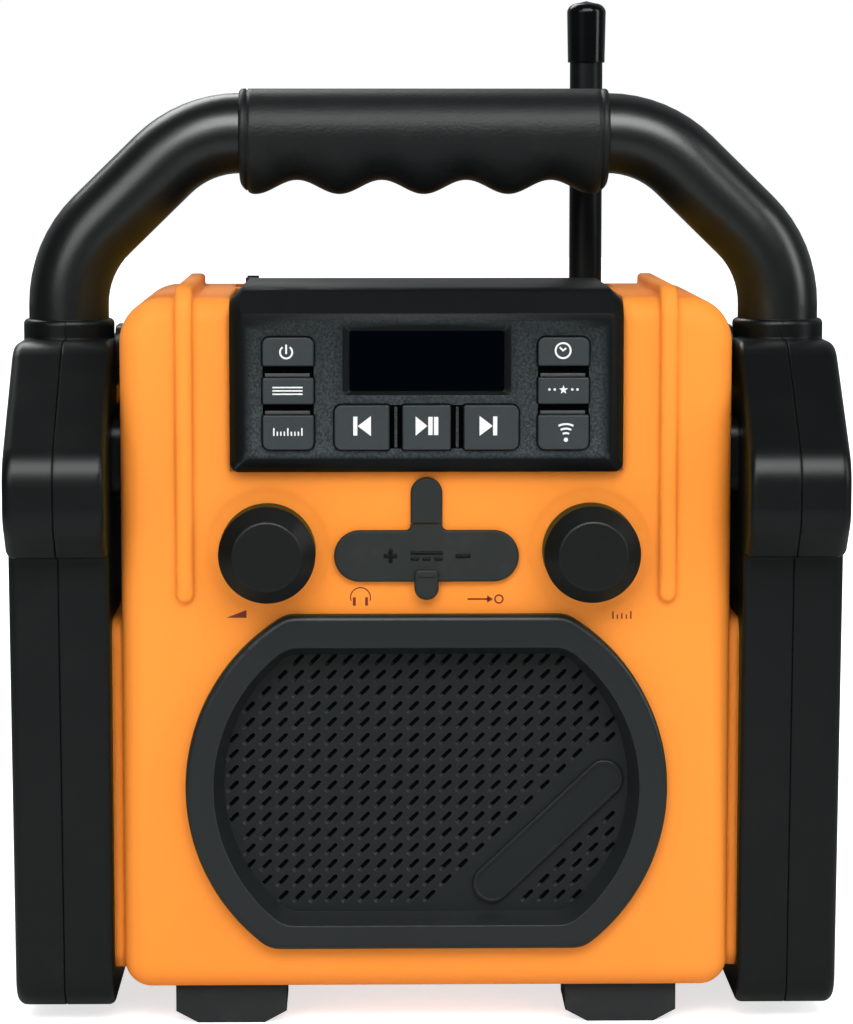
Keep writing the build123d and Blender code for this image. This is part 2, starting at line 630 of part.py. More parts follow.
with BuildPart() as control_panel:
    # one block with its bevel, then the space that the housing fills is taken out
    extrude(polygon(side_plane(-half_panel), [
        (PANEL_BACK, PANEL_Z0, 0),
        (PANEL_FACE, PANEL_Z0, 0),
        (PANEL_FACE, PANEL_TOP, PANEL_EDGE_R),
        (PANEL_BACK, PANEL_TOP, 0)]), amount=PANEL_W)
    face_rim = control_panel.faces().sort_by(Axis.Y)[0].edges()
    top_rim = control_panel.faces().sort_by(Axis.Z)[-1].edges()
    arcs = control_panel.edges().filter_by(
        lambda e: abs(abs(e.center().X) - half_panel) < 0.01 and e.geom_type == GeomType.CIRCLE
        and e.center().Z > PANEL_TOP - PANEL_EDGE_R)
    rim = ShapeList([e for e in face_rim if e.center().Z < PANEL_TOP - PANEL_EDGE_R - 1])
    rim += [e for e in top_rim if abs(e.center().X) > half_panel - 0.01]
    chamfer(ShapeList(list(rim) + list(arcs)), PANEL_BEVEL)
    extrude(rect(front_plane(PANEL_BACK + 1), -PANEL_W, PANEL_W, PANEL_Z0 - 1, seat_z),
            amount=PANEL_BACK + 1 - seat_y, mode=Mode.SUBTRACT)
    low = control_panel.edges().filter_by(
        lambda e: e.center().Z < PANEL_Z0 + PANEL_BEVEL and e.center().Y < seat_y)
    corners = low.filter_by(lambda e: abs(e.center().X) > half_panel - PANEL_BEVEL
                            and e.length < 2 * PANEL_BEVEL
                            and abs((e @ 0).Y - (e @ 1).Y) > 0.5 and not e.is_closed)
    fillet(corners.filter_by(lambda e: abs((e @ 0).X - (e @ 1).X) > 1 or e.center().Z < PANEL_Z0 + 0.01),
           PANEL_CORNER_R)
    # hollow for the electronics
    extrude(rect(front_plane(seat_y), -PANEL_BAY_W / 2, PANEL_BAY_W / 2, PANEL_BAY_Z0, PANEL_BAY_Z1, BAY_R),
            amount=seat_y - face_back, mode=Mode.SUBTRACT)
    # posts that press the board on its seat, and the snap tabs
    extrude(discs(front_plane(board_y), [
        (side * (PANEL_BAY_W / 2 - POST_IN), z) for side in (-1, 1)
        for z in (PANEL_BAY_Z0 + POST_IN, PANEL_BAY_Z1 - POST_IN)], POST_R), amount=board_y - face_back)
    for x in (-TAB_X, TAB_X):
        for z in TAB_Z:
            extrude(rect(front_plane(inner_front + 1.4), x - TAB_W / 2, x + TAB_W / 2, z - TAB_H / 2,
                         z + TAB_H / 2), amount=inner_front + 1.4 - seat_y + 0.5)
    # window and button holes
    window_low, window_high = WINDOW_Z - WINDOW_H / 2, WINDOW_Z + WINDOW_H / 2
    extrude(rect(front_plane(face_back), -WINDOW_W / 2, WINDOW_W / 2, window_low, window_high, WINDOW_R),
            amount=PANEL_WALL * 2, mode=Mode.SUBTRACT)
    rim_mouth = rect(front_plane(PANEL_FACE), -WINDOW_W / 2 - WINDOW_SIDE, WINDOW_W / 2 + WINDOW_SIDE,
                     window_low - WINDOW_LOWER, window_high + WINDOW_UPPER, WINDOW_R)
    rim_floor = rect(front_plane(PANEL_FACE + WINDOW_SINK), -WINDOW_W / 2, WINDOW_W / 2, window_low,
                     window_high, WINDOW_R)
    loft([rim_mouth.face(), rim_floor.face()], mode=Mode.SUBTRACT)
    for button in BUTTONS:
        extrude(button_outline(face_back, button, RUN), amount=PANEL_WALL * 2, mode=Mode.SUBTRACT)
save(control_panel, "control_panel")

with BuildPart() as display_lens:
    extrude(rect(front_plane(PANEL_FACE + LENS_FACE + LENS_T), -WINDOW_W / 2 + FIT, WINDOW_W / 2 - FIT,
                 WINDOW_Z - WINDOW_H / 2 + FIT, WINDOW_Z + WINDOW_H / 2 - FIT, WINDOW_R - FIT),
            amount=LENS_T)
save(display_lens, "display_lens")

with BuildPart() as display_module:
    extrude(rect(front_plane(board_y), -DISPLAY_W / 2, DISPLAY_W / 2, WINDOW_Z - DISPLAY_H / 2,
                 WINDOW_Z + DISPLAY_H / 2), amount=board_y - face_back - 0.2)
    extrude(rect(front_plane(face_back + 0.2), -WINDOW_W / 2 + 1, WINDOW_W / 2 - 1,
                 WINDOW_Z - WINDOW_H / 2 + 1, WINDOW_Z + WINDOW_H / 2 - 1),
            amount=face_back + 0.2 - (PANEL_FACE + LENS_FACE + LENS_T))
save(display_module, "display_module")

for row in BUTTONS:
    name, x, z, w, h, outer = row
    with BuildPart() as button:
        flange_y = face_back + 0.1
        extrude(button_outline(flange_y, row), amount=flange_y - PANEL_FACE + BUTTON_PROUD)
        fillet(button.faces().sort_by(Axis.Y)[0].edges(), BUTTON_EDGE)
        extrude(rect(front_plane(flange_y + BUTTON_FLANGE_T), x - w / 2 - BUTTON_FLANGE,
                     x + w / 2 + BUTTON_FLANGE, z - h / 2 - BUTTON_FLANGE, z + h / 2 + BUTTON_FLANGE),
                amount=BUTTON_FLANGE_T)
    save(button, name)

with BuildPart() as control_board:
    extrude(rect(front_plane(seat_y), -PANEL_BAY_W / 2 + FIT, PANEL_BAY_W / 2 - FIT, PANEL_BAY_Z0 + FIT,
                 PANEL_BAY_Z1 - FIT, BAY_R), amount=BOARD_T)
save(control_board, "control_board")

with BuildPart() as tact_switches:
    spots = [(x, z) for name, x, z, w, h, outer in BUTTONS]
    with BuildSketch(front_plane(board_y)):
        with Locations(*spots):
            Rectangle(SWITCH_SIZE, SWITCH_SIZE)
    extrude(amount=SWITCH_BODY)
    plunger = board_y - SWITCH_BODY - (face_back + 0.1 + BUTTON_FLANGE_T + BUTTON_TRAVEL + 0.05)
    extrude(discs(front_plane(board_y - SWITCH_BODY), spots, SWITCH_PLUNGER_R), amount=plunger)
save(tact_switches, "tact_switches")

# ---------------------------------------------------------------- knobs
knob_back = BODY_FRONT - KNOB_GAP
knob_shoulder = knob_back - KNOB_SIDE
knob_face = knob_shoulder - KNOB_CONE
bushing_end = BODY_FRONT - BUSHING_OUT
for name, shaft_name, pot_name, x in (("volume_knob", "volume_shaft", "volume_control", KNOB_LEFT),
                                      ("tuning_knob", "tuning_shaft", "tuning_encoder", KNOB_RIGHT)):
    spot = [(x, KNOB_Z)]
    axis = Axis((x, 0, KNOB_Z), (0, 1, 0))
    with BuildPart() as knob:
        with BuildSketch(Plane.XY.offset(KNOB_Z)):
            with BuildLine():
                Polyline((x, knob_back - KNOB_SKIRT_DEPTH), (x + KNOB_SKIRT, knob_back - KNOB_SKIRT_DEPTH),
                         (x + KNOB_SKIRT, knob_back), (x + KNOB_R, knob_back),
                         (x + KNOB_R, knob_shoulder), (x + KNOB_FACE_R, knob_face), (x, knob_face),
                         close=True)
            make_face()
        revolve(axis=axis)
        rims = knob.edges().filter_by(GeomType.CIRCLE).filter_by(lambda e: e.center().Y < knob_back - 7)
        fillet(rims.sort_by(Axis.Y)[:2], 0.8)
        extrude(discs(front_plane(bushing_end - RUN), spot, KNOB_HUB_R),
                amount=bushing_end - RUN - knob_back + KNOB_SKIRT_DEPTH + 0.5)
        extrude(discs(front_plane(knob_back), spot, SHAFT_R), amount=KNOB_SIDE, mode=Mode.SUBTRACT)
    save(knob, name)
    with BuildPart() as shaft:
        extrude(discs(front_plane(inner_front + POT_DEPTH - 2.0), spot, SHAFT_R),
                amount=inner_front + POT_DEPTH - 2.0 - (knob_back - KNOB_SIDE + 0.5))
    save(shaft, shaft_name)
    with BuildPart() as pot:
        extrude(discs(front_plane(inner_front + POT_DEPTH), spot, POT_R), amount=POT_DEPTH)
        extrude(discs(front_plane(inner_front), spot, BUSHING_R), amount=WALL + BUSHING_OUT)
        extrude(discs(front_plane(inner_front + POT_DEPTH - 2.0 + RUN), spot, SHAFT_R + SHAFT_FIT),
                amount=40, mode=Mode.SUBTRACT)
        for k in (-1, 0, 1):
            extrude(rect(front_plane(inner_front + POT_DEPTH - 3), x + 4 * k - 0.6, x + 4 * k + 0.6,
                         KNOB_Z - POT_R - 3, KNOB_Z - POT_R + 1), amount=1.0)
    save(pot, pot_name)

with BuildPart() as knob_nuts:
    nut_seat = BODY_FRONT + KNOB_DISH
    with BuildSketch(front_plane(nut_seat)):
        with Locations((KNOB_LEFT, KNOB_Z), (KNOB_RIGHT, KNOB_Z)):
            RegularPolygon(NUT_R, 6)
            Circle(BUSHING_R, mode=Mode.SUBTRACT)
    extrude(amount=NUT_T)
save(knob_nuts, "knob_nuts")

# ---------------------------------------------------------------- ports
with BuildPart() as port_cover_anchor:
    stem_bottom = PORT_Z + COVER_H / 2 + NECK + STEM_GAP
    with BuildSketch(front_plane(BODY_FRONT)) as s:
        with Locations((0, (stem_bottom + STEM_TOP) / 2)):
            Rectangle(STEM_W, STEM_TOP - stem_bottom)
        fillet(s.vertices().group_by(Axis.Y)[-1], STEM_W / 2 - 0.05)
    extrude(amount=COVER_T)
    fillet(port_cover_anchor.faces().sort_by(Axis.Y)[0].edges().sort_by(Axis.Z)[1:], 0.6)
    extrude(discs(front_plane(inner_front + 1.2), [(0, STEM_PIN_Z)], STEM_PIN_R), amount=WALL + 1.5)
    extrude(discs(front_plane(inner_front + 1.2), [(0, STEM_PIN_Z)], STEM_PIN_R + 0.9), amount=1.2)
save(port_cover_anchor, "port_cover_anchor")

with BuildPart() as port_cover_flap:
    cover_back = BODY_FRONT - 0.25
    cover_top = PORT_Z + COVER_H / 2
    with BuildSketch(front_plane(cover_back)) as s:
        with Locations((0, PORT_Z)):
            RectangleRounded(COVER_W, COVER_H, COVER_H / 2 - 0.01)
        with Locations((0, (PORT_Z + cover_top + NECK) / 2)):
            Rectangle(STEM_W, cover_top + NECK - PORT_Z)
        fillet([v for v in s.vertices() if abs(v.Y - cover_top) < 0.01 and abs(v.X) < STEM_W], NECK_R)
    extrude(amount=COVER_T)
    fillet(port_cover_flap.faces().sort_by(Axis.Y)[0].edges().sort_by(Axis.Z)[:-1], 0.6)
    rim_in = PORT_INSET + RIM_FIT
    extrude(pill(BODY_FRONT + COVER_RIM, rim_in), amount=COVER_RIM + 0.4)
    extrude(pill(BODY_FRONT + COVER_RIM, rim_in + COVER_RIM_T), amount=COVER_RIM + 0.2,
            mode=Mode.SUBTRACT)
    half = PULL_W / 2
    tongue = [(-half, PULL_Z0, half - 0.1), (half, PULL_Z0, half - 0.1), (half, PULL_Z1, 1.3), (-half, PULL_Z1, 1.3)]
    extrude(polygon(front_plane(cover_back), tongue), amount=COVER_T + PULL_T)
    fillet(port_cover_flap.faces().sort_by(Axis.Y)[0].edges(), PULL_EDGE)
save(port_cover_flap, "port_cover_flap")

for name, x in (("headphone_jack", PHONE_X), ("aux_jack", AUX_X)):
    with BuildPart() as jack:
        extrude(rect(front_plane(port_back + JACK_DEPTH - PORT_BACK_WALL), x - JACK_BODY_W / 2,
                     x + JACK_BODY_W / 2, PORT_Z - 4.2, PORT_Z + 4.2), amount=JACK_DEPTH - PORT_BACK_WALL)
        extrude(discs(front_plane(port_back), [(x, PORT_Z)], JACK_COLLAR_R), amount=PORT_BACK_WALL)
        extrude(discs(front_plane(port_floor + JACK_DEPTH - 1.5), [(x, PORT_Z)], JACK_R), amount=JACK_DEPTH,
                mode=Mode.SUBTRACT)
    save(jack, name)

with BuildPart() as usb_socket:
    extrude(rect(front_plane(port_floor + USB_DEPTH), -USB_W / 2, USB_W / 2, PORT_Z - USB_H / 2,
                 PORT_Z + USB_H / 2), amount=USB_DEPTH)
    extrude(rect(front_plane(port_floor + USB_DEPTH - 1.5), -USB_W / 2 + USB_T, USB_W / 2 - USB_T,
                 PORT_Z - USB_H / 2 + USB_T, PORT_Z + USB_H / 2 - USB_T), amount=USB_DEPTH,
            mode=Mode.SUBTRACT)
    extrude(rect(front_plane(port_floor + USB_DEPTH), -USB_W / 2 + 1.2, USB_W / 2 - 1.2,
                 PORT_Z + USB_H / 2 - USB_T - USB_TONGUE, PORT_Z + USB_H / 2 - USB_T - 0.1),
            amount=USB_DEPTH - 1.0)
save(usb_socket, "usb_socket")

# ---------------------------------------------------------------- speaker
spk_axis = Axis((0, 0, SPK_Z), (0, 1, 0))
ring_face = BODY_FRONT - RING_OUT

with BuildPart() as speaker_bezel:
    extrude(ring_outline(BODY_FRONT), amount=RING_OUT)
    fillet(speaker_bezel.faces().sort_by(Axis.Y)[0].edges(), RING_EDGE)
    # the rim hangs into the recess and holds the grille down; its inside is a funnel
    extrude(ring_outline(grille_face, RECESS_INSET + FIT), amount=GRILLE_DEPTH)
    loft([ring_outline(ring_face - 0.5, RING_W).face(), ring_outline(grille_face + 0.1, GRILLE_INSET).face()],
         mode=Mode.SUBTRACT)
save(speaker_bezel, "speaker_bezel")


def on_plate(x, z):
    """True where a point lies in the plain band that carries the name plate."""
    dx, dz = PLATE_B[0] - PLATE_A[0], PLATE_B[1] - PLATE_A[1]
    return abs((x - PLATE_A[0]) * dz - (z - PLATE_A[1]) * dx) < PLATE_CLEAR * (dx * dx + dz * dz) ** 0.5


def in_grille(x, z):
    """True where a slot's middle lies inside the visible grille."""
    reach = RING_R - GRILLE_INSET - SLOT_LAND
    return max(abs(x) - RING_ARC_X, 0) ** 2 + (z - RING_ARC_Z) ** 2 < reach ** 2


slots = [(SLOT_X0 + SLOT_PITCH_X * (i - (SLOT_COLS - 1) / 2), SLOT_Z0 + SLOT_PITCH_Z * j)
         for i in range(SLOT_COLS) for j in range(SLOT_ROWS)]
slots = [p for p in slots if in_grille(*p) and not on_plate(*p)]

with BuildPart() as speaker_grille:
    extrude(ring_outline(grille_back, RECESS_INSET + FIT), amount=GRILLE_T)
    with BuildSketch(front_plane(grille_back)):
        with Locations(*[Location((x, z), 45) for x, z in slots]):
            SlotOverall(SLOT_L, SLOT_W)
    extrude(amount=GRILLE_T, mode=Mode.SUBTRACT)
save(speaker_grille, "speaker_grille")

with BuildPart() as name_plate:
    length = ((PLATE_B[0] - PLATE_A[0]) ** 2 + (PLATE_B[1] - PLATE_A[1]) ** 2) ** 0.5
    middle = ((PLATE_A[0] + PLATE_B[0]) / 2, (PLATE_A[1] + PLATE_B[1]) / 2)
    tilt = Vector(PLATE_B[0] - PLATE_A[0], PLATE_B[1] - PLATE_A[1]).get_angle(Vector(1, 0))
    with BuildSketch(front_plane(grille_face)):
        with Locations(Location(middle, tilt)):
            SlotCenterToCenter(length, 2 * PLATE_R)
    extrude(amount=PLATE_T)
    fillet(name_plate.faces().sort_by(Axis.Y)[0].edges(), 0.5)
    with BuildSketch(front_plane(grille_face - PLATE_T + PLATE_SINK)):
        with Locations(Location(middle, tilt)):
            SlotCenterToCenter(length, 2 * (PLATE_R - PLATE_RIM))
    extrude(amount=PLATE_T, mode=Mode.SUBTRACT)
save(name_plate, "name_plate")

with BuildPart() as speaker_basket:
    flange_back = baffle_back + SPK_FLANGE_T
    basket_back = baffle_back + SPK_DEPTH
    with BuildSketch(Plane.XY.offset(SPK_Z)):
        with BuildLine():
            Polyline((SPK_HOLE_R - 2, baffle_back), (SPK_FLANGE_R, baffle_back),
                     (SPK_FLANGE_R, flange_back), (SPK_HOLE_R, flange_back),
                     (SPK_MAGNET_R - 1, basket_back), (SPK_POLE_R + 1.6, basket_back),
                     (SPK_POLE_R + 1.6, basket_back - 1.6), (SPK_MAGNET_R - 2.2, basket_back - 1.6),
                     (SPK_HOLE_R - 2, flange_back), close=True)
        make_face()
    revolve(axis=spk_axis)
    with BuildSketch(front_plane(basket_back - 3)):
        with Locations((0, SPK_Z)):
            with PolarLocations((SPK_HOLE_R + SPK_MAGNET_R) / 2, 6):
                RectangleRounded(9, 20, 2)
    extrude(amount=SPK_DEPTH - 8, mode=Mode.SUBTRACT)
save(speaker_basket, "speaker_basket")

with BuildPart() as speaker_magnet:
    extrude(discs(front_plane(basket_back + SPK_MAGNET_T), [(0, SPK_Z)], SPK_MAGNET_R), amount=SPK_MAGNET_T)
    extrude(discs(front_plane(basket_back + SPK_MAGNET_T - 3), [(0, SPK_Z)], SPK_POLE_R + 1.6),
            amount=SPK_MAGNET_T, mode=Mode.SUBTRACT)
    extrude(discs(front_plane(basket_back + SPK_MAGNET_T - 3), [(0, SPK_Z)], SPK_POLE_R - 0.6),
            amount=SPK_MAGNET_T - 2)
save(speaker_magnet, "speaker_magnet")

cone_mouth = baffle_back + SPK_FLANGE_T * 0.5
with BuildPart() as speaker_cone:
    with BuildSketch(Plane.XY.offset(SPK_Z)):
        with BuildLine():
            Polyline((CONE_R, cone_mouth), (CONE_NECK_R, cone_mouth + CONE_DEPTH),
                     (CONE_NECK_R, basket_back + 2), (CONE_NECK_R - CONE_T, basket_back + 2),
                     (CONE_NECK_R - CONE_T, cone_mouth + CONE_DEPTH - CONE_T),
                     (CONE_R - CONE_T, cone_mouth - CONE_T), close=True)
        make_face()
    revolve(axis=spk_axis)
save(speaker_cone, "speaker_cone")

with BuildPart() as dust_cap:
    cap_base = cone_mouth + CONE_DEPTH - CONE_T
    cap_rim = CONE_NECK_R - CONE_T
    with BuildSketch(Plane.XY.offset(SPK_Z)):
        with Locations((0, cap_base - DUST_H + DUST_R)):
            Circle(DUST_R)
            Circle(DUST_R - CONE_T, mode=Mode.SUBTRACT)
        with Locations((cap_rim / 2, cap_base - DUST_H)):
            Rectangle(cap_rim, 2 * DUST_H, mode=Mode.INTERSECT)
    revolve(axis=spk_axis)
save(dust_cap, "dust_cap")

with BuildPart() as speaker_surround:
    middle_r = (CONE_R + SPK_HOLE_R - 2) / 2 + RUN / 2
    half = (SPK_HOLE_R - 2 - CONE_R - RUN) / 2
    with BuildSketch(Plane.XY.offset(SPK_Z)):
        with Locations((middle_r, cone_mouth - 0.4)):
            Circle(half)
            Circle(half - 0.6, mode=Mode.SUBTRACT)
        with Locations((middle_r, cone_mouth - 0.4 + 4)):
            Rectangle(12, 8, mode=Mode.SUBTRACT)
    revolve(axis=spk_axis)
save(speaker_surround, "speaker_surround")

# ---------------------------------------------------------------- antenna
with BuildPart() as antenna_base:
    cheek_in = TONGUE_T / 2 + RUN
    floor = WELL_Z0 + 1.5
    extrude(rect(Plane.XY.offset(WELL_Z0), ANT_X - CHEEK_R, WELL_X1 - FIT, well_y0 + FIT, well_y1 - FIT,
                 WELL_R), amount=floor - WELL_Z0)
    for y in (ANT_Y - cheek_in, ANT_Y + cheek_in + CHEEK_T):
        with BuildSketch(front_plane(y)):
            with Locations((ANT_X, PIVOT_Z)):
                Circle(CHEEK_R)
            with Locations((ANT_X, (WELL_Z0 + PIVOT_Z) / 2)):
                Rectangle(2 * CHEEK_R, PIVOT_Z - WELL_Z0)
        extrude(amount=CHEEK_T)
    extrude(discs(front_plane(well_y1), [(ANT_X, PIVOT_Z)], PIVOT_PIN_R), amount=WELL_W,
            mode=Mode.SUBTRACT)
save(antenna_base, "antenna_base")

with BuildPart() as antenna_pin:
    pin_half = cheek_in + CHEEK_T
    extrude(discs(front_plane(ANT_Y + pin_half), [(ANT_X, PIVOT_Z)], PIVOT_PIN_R), amount=2 * pin_half)
save(antenna_pin, "antenna_pin")

with BuildPart() as antenna_rod:
    with BuildSketch(front_plane(ANT_Y + TONGUE_T / 2)):
        with Locations((ANT_X, PIVOT_Z)):
            Circle(ANT_R)
        with Locations((ANT_X, PIVOT_Z + TONGUE_L / 2 + 0.5)):
            Rectangle(2 * ANT_R, TONGUE_L + 1)
    extrude(amount=TONGUE_T)
    with BuildSketch(Plane.XY.offset(PIVOT_Z + TONGUE_L)):
        with Locations((ANT_X, ANT_Y)):
            Circle(ANT_R)
    extrude(amount=ANT_TOP - PIVOT_Z - TONGUE_L)
    with BuildSketch(Plane.XY.offset(ANT_TOP)):
        with Locations((ANT_X, ANT_Y)):
            Circle(ANT_NECK_R)
    extrude(amount=CAP_TOP - ANT_TOP - 4)
    extrude(discs(front_plane(ANT_Y + TONGUE_T), [(ANT_X, PIVOT_Z)], PIVOT_PIN_R + SHAFT_FIT),
            amount=2 * TONGUE_T, mode=Mode.SUBTRACT)
save(antenna_rod, "antenna_rod")

with BuildPart() as antenna_cap:
    with BuildSketch(Plane.XZ.offset(-ANT_Y)):
        with BuildLine():
            Polyline((ANT_X, CAP_TOP - 4), (ANT_X + ANT_NECK_R, CAP_TOP - 4), (ANT_X + ANT_NECK_R, ANT_TOP),
                     (ANT_X + ANT_R, ANT_TOP), (ANT_X + ANT_R, CAP_Z0), (ANT_X + CAP_R - 0.3, CAP_Z0),
                     (ANT_X + CAP_R, CAP_TOP - 3.2))
            ThreePointArc((ANT_X + CAP_R, CAP_TOP - 3.2), (ANT_X + CAP_R - 1.4, CAP_TOP - 1.2),
                          (ANT_X + CAP_R - 3.0, CAP_TOP - 0.7))
            Line((ANT_X + CAP_R - 3.0, CAP_TOP - 0.7), (ANT_X, CAP_TOP))
            Line((ANT_X, CAP_TOP), (ANT_X, CAP_TOP - 4))
        make_face()
    revolve(axis=Axis((ANT_X, ANT_Y, 0), (0, 0, 1)))
save(antenna_cap, "antenna_cap")

with BuildPart() as antenna_clip:
    clip_in = CAP_R + RUN + 0.15
    clip_floor = PIVOT_Z - CAP_R - RUN - 0.1
    with BuildSketch(side_plane(CLIP_X - CLIP_L / 2)) as s:
        with Locations((ANT_Y, (WELL_Z0 + CLIP_TOP) / 2)):
            Rectangle(2 * (clip_in + CLIP_T), CLIP_TOP - WELL_Z0)
        fillet(s.vertices().group_by(Axis.Y)[-1], 0.8)
        with Locations((ANT_Y, clip_floor + 20)):
            Rectangle(2 * clip_in, 40, mode=Mode.SUBTRACT)
    extrude(amount=CLIP_L)
save(antenna_clip, "antenna_clip")

# ---------------------------------------------------------------- handle
with BuildPart() as handle_tube:
    with BuildLine(Plane.XZ) as path:
        FilletPolyline((-LEG_X, TUBE_Z0), (-LEG_X, TUBE_BEND_Z), (-TUBE_BEND_X, TUBE_Z),
                       (TUBE_BEND_X, TUBE_Z), (LEG_X, TUBE_BEND_Z), (LEG_X, TUBE_Z0), radius=TUBE_BEND_R)
    with BuildSketch(Plane.XY.offset(TUBE_Z0)):
        with Locations((-LEG_X, 0)):
            Circle(TUBE_R)
            Circle(TUBE_R - TUBE_WALL, mode=Mode.SUBTRACT)
    sweep()
save(handle_tube, "handle_tube")

with BuildPart() as handle_grip:
    with BuildSketch(side_plane(-GRIP_W / 2)):
        with Locations((0, TUBE_Z)):
            Circle(GRIP_R)
    extrude(amount=GRIP_W)
    with BuildSketch(front_plane(GRIP_WEB)) as s:
        low = TUBE_Z - GRIP_LOW
        tips = [GRIP_BUMPS * k for k in (-2, -1, 0, 1, 2)]
        with BuildLine():
            Line((-GRIP_W / 2, TUBE_Z), (-GRIP_W / 2, TUBE_Z - GRIP_R))
            Line((-GRIP_W / 2, TUBE_Z - GRIP_R), (tips[0], low))
            for a, b in zip(tips, tips[1:]):
                ThreePointArc((a, low), ((a + b) / 2, TUBE_Z - GRIP_CREST), (b, low))
            Line((tips[-1], low), (GRIP_W / 2, TUBE_Z - GRIP_R))
            Line((GRIP_W / 2, TUBE_Z - GRIP_R), (GRIP_W / 2, TUBE_Z))
            Line((GRIP_W / 2, TUBE_Z), (-GRIP_W / 2, TUBE_Z))
        make_face()
        fillet([v for v in s.vertices() if abs(v.Y - low) < 0.01], 3.5)
    extrude(amount=2 * GRIP_WEB)
    with BuildSketch(side_plane(-GRIP_W)):
        with Locations((0, TUBE_Z)):
            Circle(TUBE_R)
    extrude(amount=2 * GRIP_W, mode=Mode.SUBTRACT)
save(handle_grip, "handle_grip")

# ---------------------------------------------------------------- side frames
frame_out = 2 * LEG_X - FRAME_IN
half_frame = LEG_X - FRAME_IN
frame_corners = [
    (LEG_FRONT + LEG_LEAN, FRAME_Z0, 10.0),
    (LEG_FRONT, FRAME_STEP_Z, 0),
    (LEG_FRONT - 6.0, FRAME_STEP_Z + 0.8, 2.0),
    (FRAME_FRONT, BULGE_Z0, 11.0),
    (FRAME_FRONT, BULGE_Z1, BULGE_R),
    (-26.0, FRAME_SHOULDER, 14.0),
    (26.0, FRAME_SHOULDER, 14.0),
    (FRAME_BACK, BULGE_Z1, BULGE_R),
    (FRAME_BACK, BULGE_Z0, 11.0),
    (LEG_BACK + 6.0, FRAME_STEP_Z + 0.8, 2.0),
    (LEG_BACK, FRAME_STEP_Z, 0),
    (LEG_BACK - LEG_LEAN, FRAME_Z0, 10.0),
]


def frame_outline(x, inset=0.0):
    """Side outline of a frame with its window, or the same drawn in by an inset."""
    with BuildSketch(side_plane(x)) as s:
        with BuildLine():
            Polyline(*[(u, v) for u, v, r in frame_corners], close=True)
        make_face()
        for u, v, r in frame_corners:
            if r > 0:
                fillet(s.vertices().sort_by_distance((u, v, 0))[0], r)
        if inset > 0:
            offset(amount=-inset, mode=Mode.REPLACE)
        with Locations(((WIN_Y0 + WIN_Y1) / 2, (WIN_Z0 + WIN_Z1) / 2)):
            RectangleRounded(WIN_Y1 - WIN_Y0 + 2 * inset, WIN_Z1 - WIN_Z0 + 2 * inset, WIN_R + inset,
                             mode=Mode.SUBTRACT)
    return s.sketch


with BuildPart() as seam_ring:
    extrude(frame_outline(LEG_X - SEAM_GROOVE / 2), amount=SEAM_GROOVE)
    extrude(frame_outline(LEG_X - SEAM_GROOVE / 2, SEAM_GROOVE), amount=SEAM_GROOVE, mode=Mode.SUBTRACT)


def frame_half(inner):
    """One half shell of the right-hand frame, hollow around the tube clamp and the bosses."""
    face_x = FRAME_IN if inner else frame_out
    sign = 1 if inner else -1
    with BuildPart() as h:
        extrude(frame_outline(face_x), amount=sign * half_frame)
        skin = h.faces().sort_by(Axis.X)[0 if inner else -1]
        fillet(skin.edges(), FRAME_EDGE if not inner else FRAME_EDGE - 1.0)
        with BuildSketch(Plane.XY.offset(FRAME_SHOULDER - 8)):
            with Locations((LEG_X, 0)):
                Circle(COLLAR_R)
            with Locations((LEG_X + sign * COLLAR_R, 0)):
                Rectangle(2 * COLLAR_R, 2 * COLLAR_R, mode=Mode.SUBTRACT)
        extrude(amount=COLLAR_TOP - FRAME_SHOULDER + 8)
        rim = h.faces().sort_by(Axis.Z)[-1].edges().filter_by(GeomType.CIRCLE)
        fillet(rim, 1.5)
        # hollow, less the clamp block and the screw bosses
        extrude(frame_outline(face_x + sign * FRAME_WALL, FRAME_WALL), amount=sign * half_frame,
                mode=Mode.SUBTRACT)
        extrude(rect(side_plane(face_x + sign * FRAME_WALL / 2), -CLAMP_HALF, CLAMP_HALF, CLAMP_Z0,
                     FRAME_SHOULDER - 1), amount=sign * (half_frame - FRAME_WALL / 2))
        extrude(discs(side_plane(face_x + sign * FRAME_WALL / 2), FSCREWS, FSCREW_BOSS_R),
                amount=sign * (half_frame - FRAME_WALL / 2))
        with BuildSketch(Plane.XY.offset(TUBE_Z0)):
            with Locations((LEG_X, 0)):
                Circle(TUBE_R)
        extrude(amount=100, mode=Mode.SUBTRACT)
        if inner:
            extrude(discs(side_plane(FRAME_IN - 1), BOLTS, BOLT_R + FIT), amount=FRAME_WALL + 2,
                    mode=Mode.SUBTRACT)
            extrude(discs(side_plane(LEG_X), FSCREWS, FSCREW_R + SCREW_FIT), amount=-(half_frame - FRAME_WALL),
                    mode=Mode.SUBTRACT)
        else:
            extrude(discs(side_plane(frame_out + 1), FSCREWS, FSCREW_R + FIT), amount=-(half_frame + 2),
                    mode=Mode.SUBTRACT)
            extrude(discs(side_plane(frame_out + 1), FSCREWS, FSCREW_HEAD_R + FIT),
                    amount=-(FSCREW_SEAT + 1), mode=Mode.SUBTRACT)
        add(seam_ring.part, mode=Mode.SUBTRACT)
    return h.part


frame_inner = frame_half(True)
frame_outer = frame_half(False)
for name, source, flip in (("frame_right_inner", frame_inner, False), ("frame_right_outer", frame_outer, False),
                           ("frame_left_inner", frame_inner, True), ("frame_left_outer", frame_outer, True)):
    with BuildPart() as frame:
        add(source)
        if flip:
            mirror(about=Plane.YZ, mode=Mode.REPLACE)
    save(frame, name)

with BuildPart() as frame_screws:
    for side in (1, -1):
        seat_x = frame_out - FSCREW_SEAT
        extrude(discs(side_plane(side * seat_x), FSCREWS, FSCREW_HEAD_R), amount=side * FSCREW_HEAD_T)
        extrude(discs(side_plane(side * seat_x), FSCREWS, FSCREW_R), amount=-side * FSCREW_L)
save(frame_screws, "frame_screws")

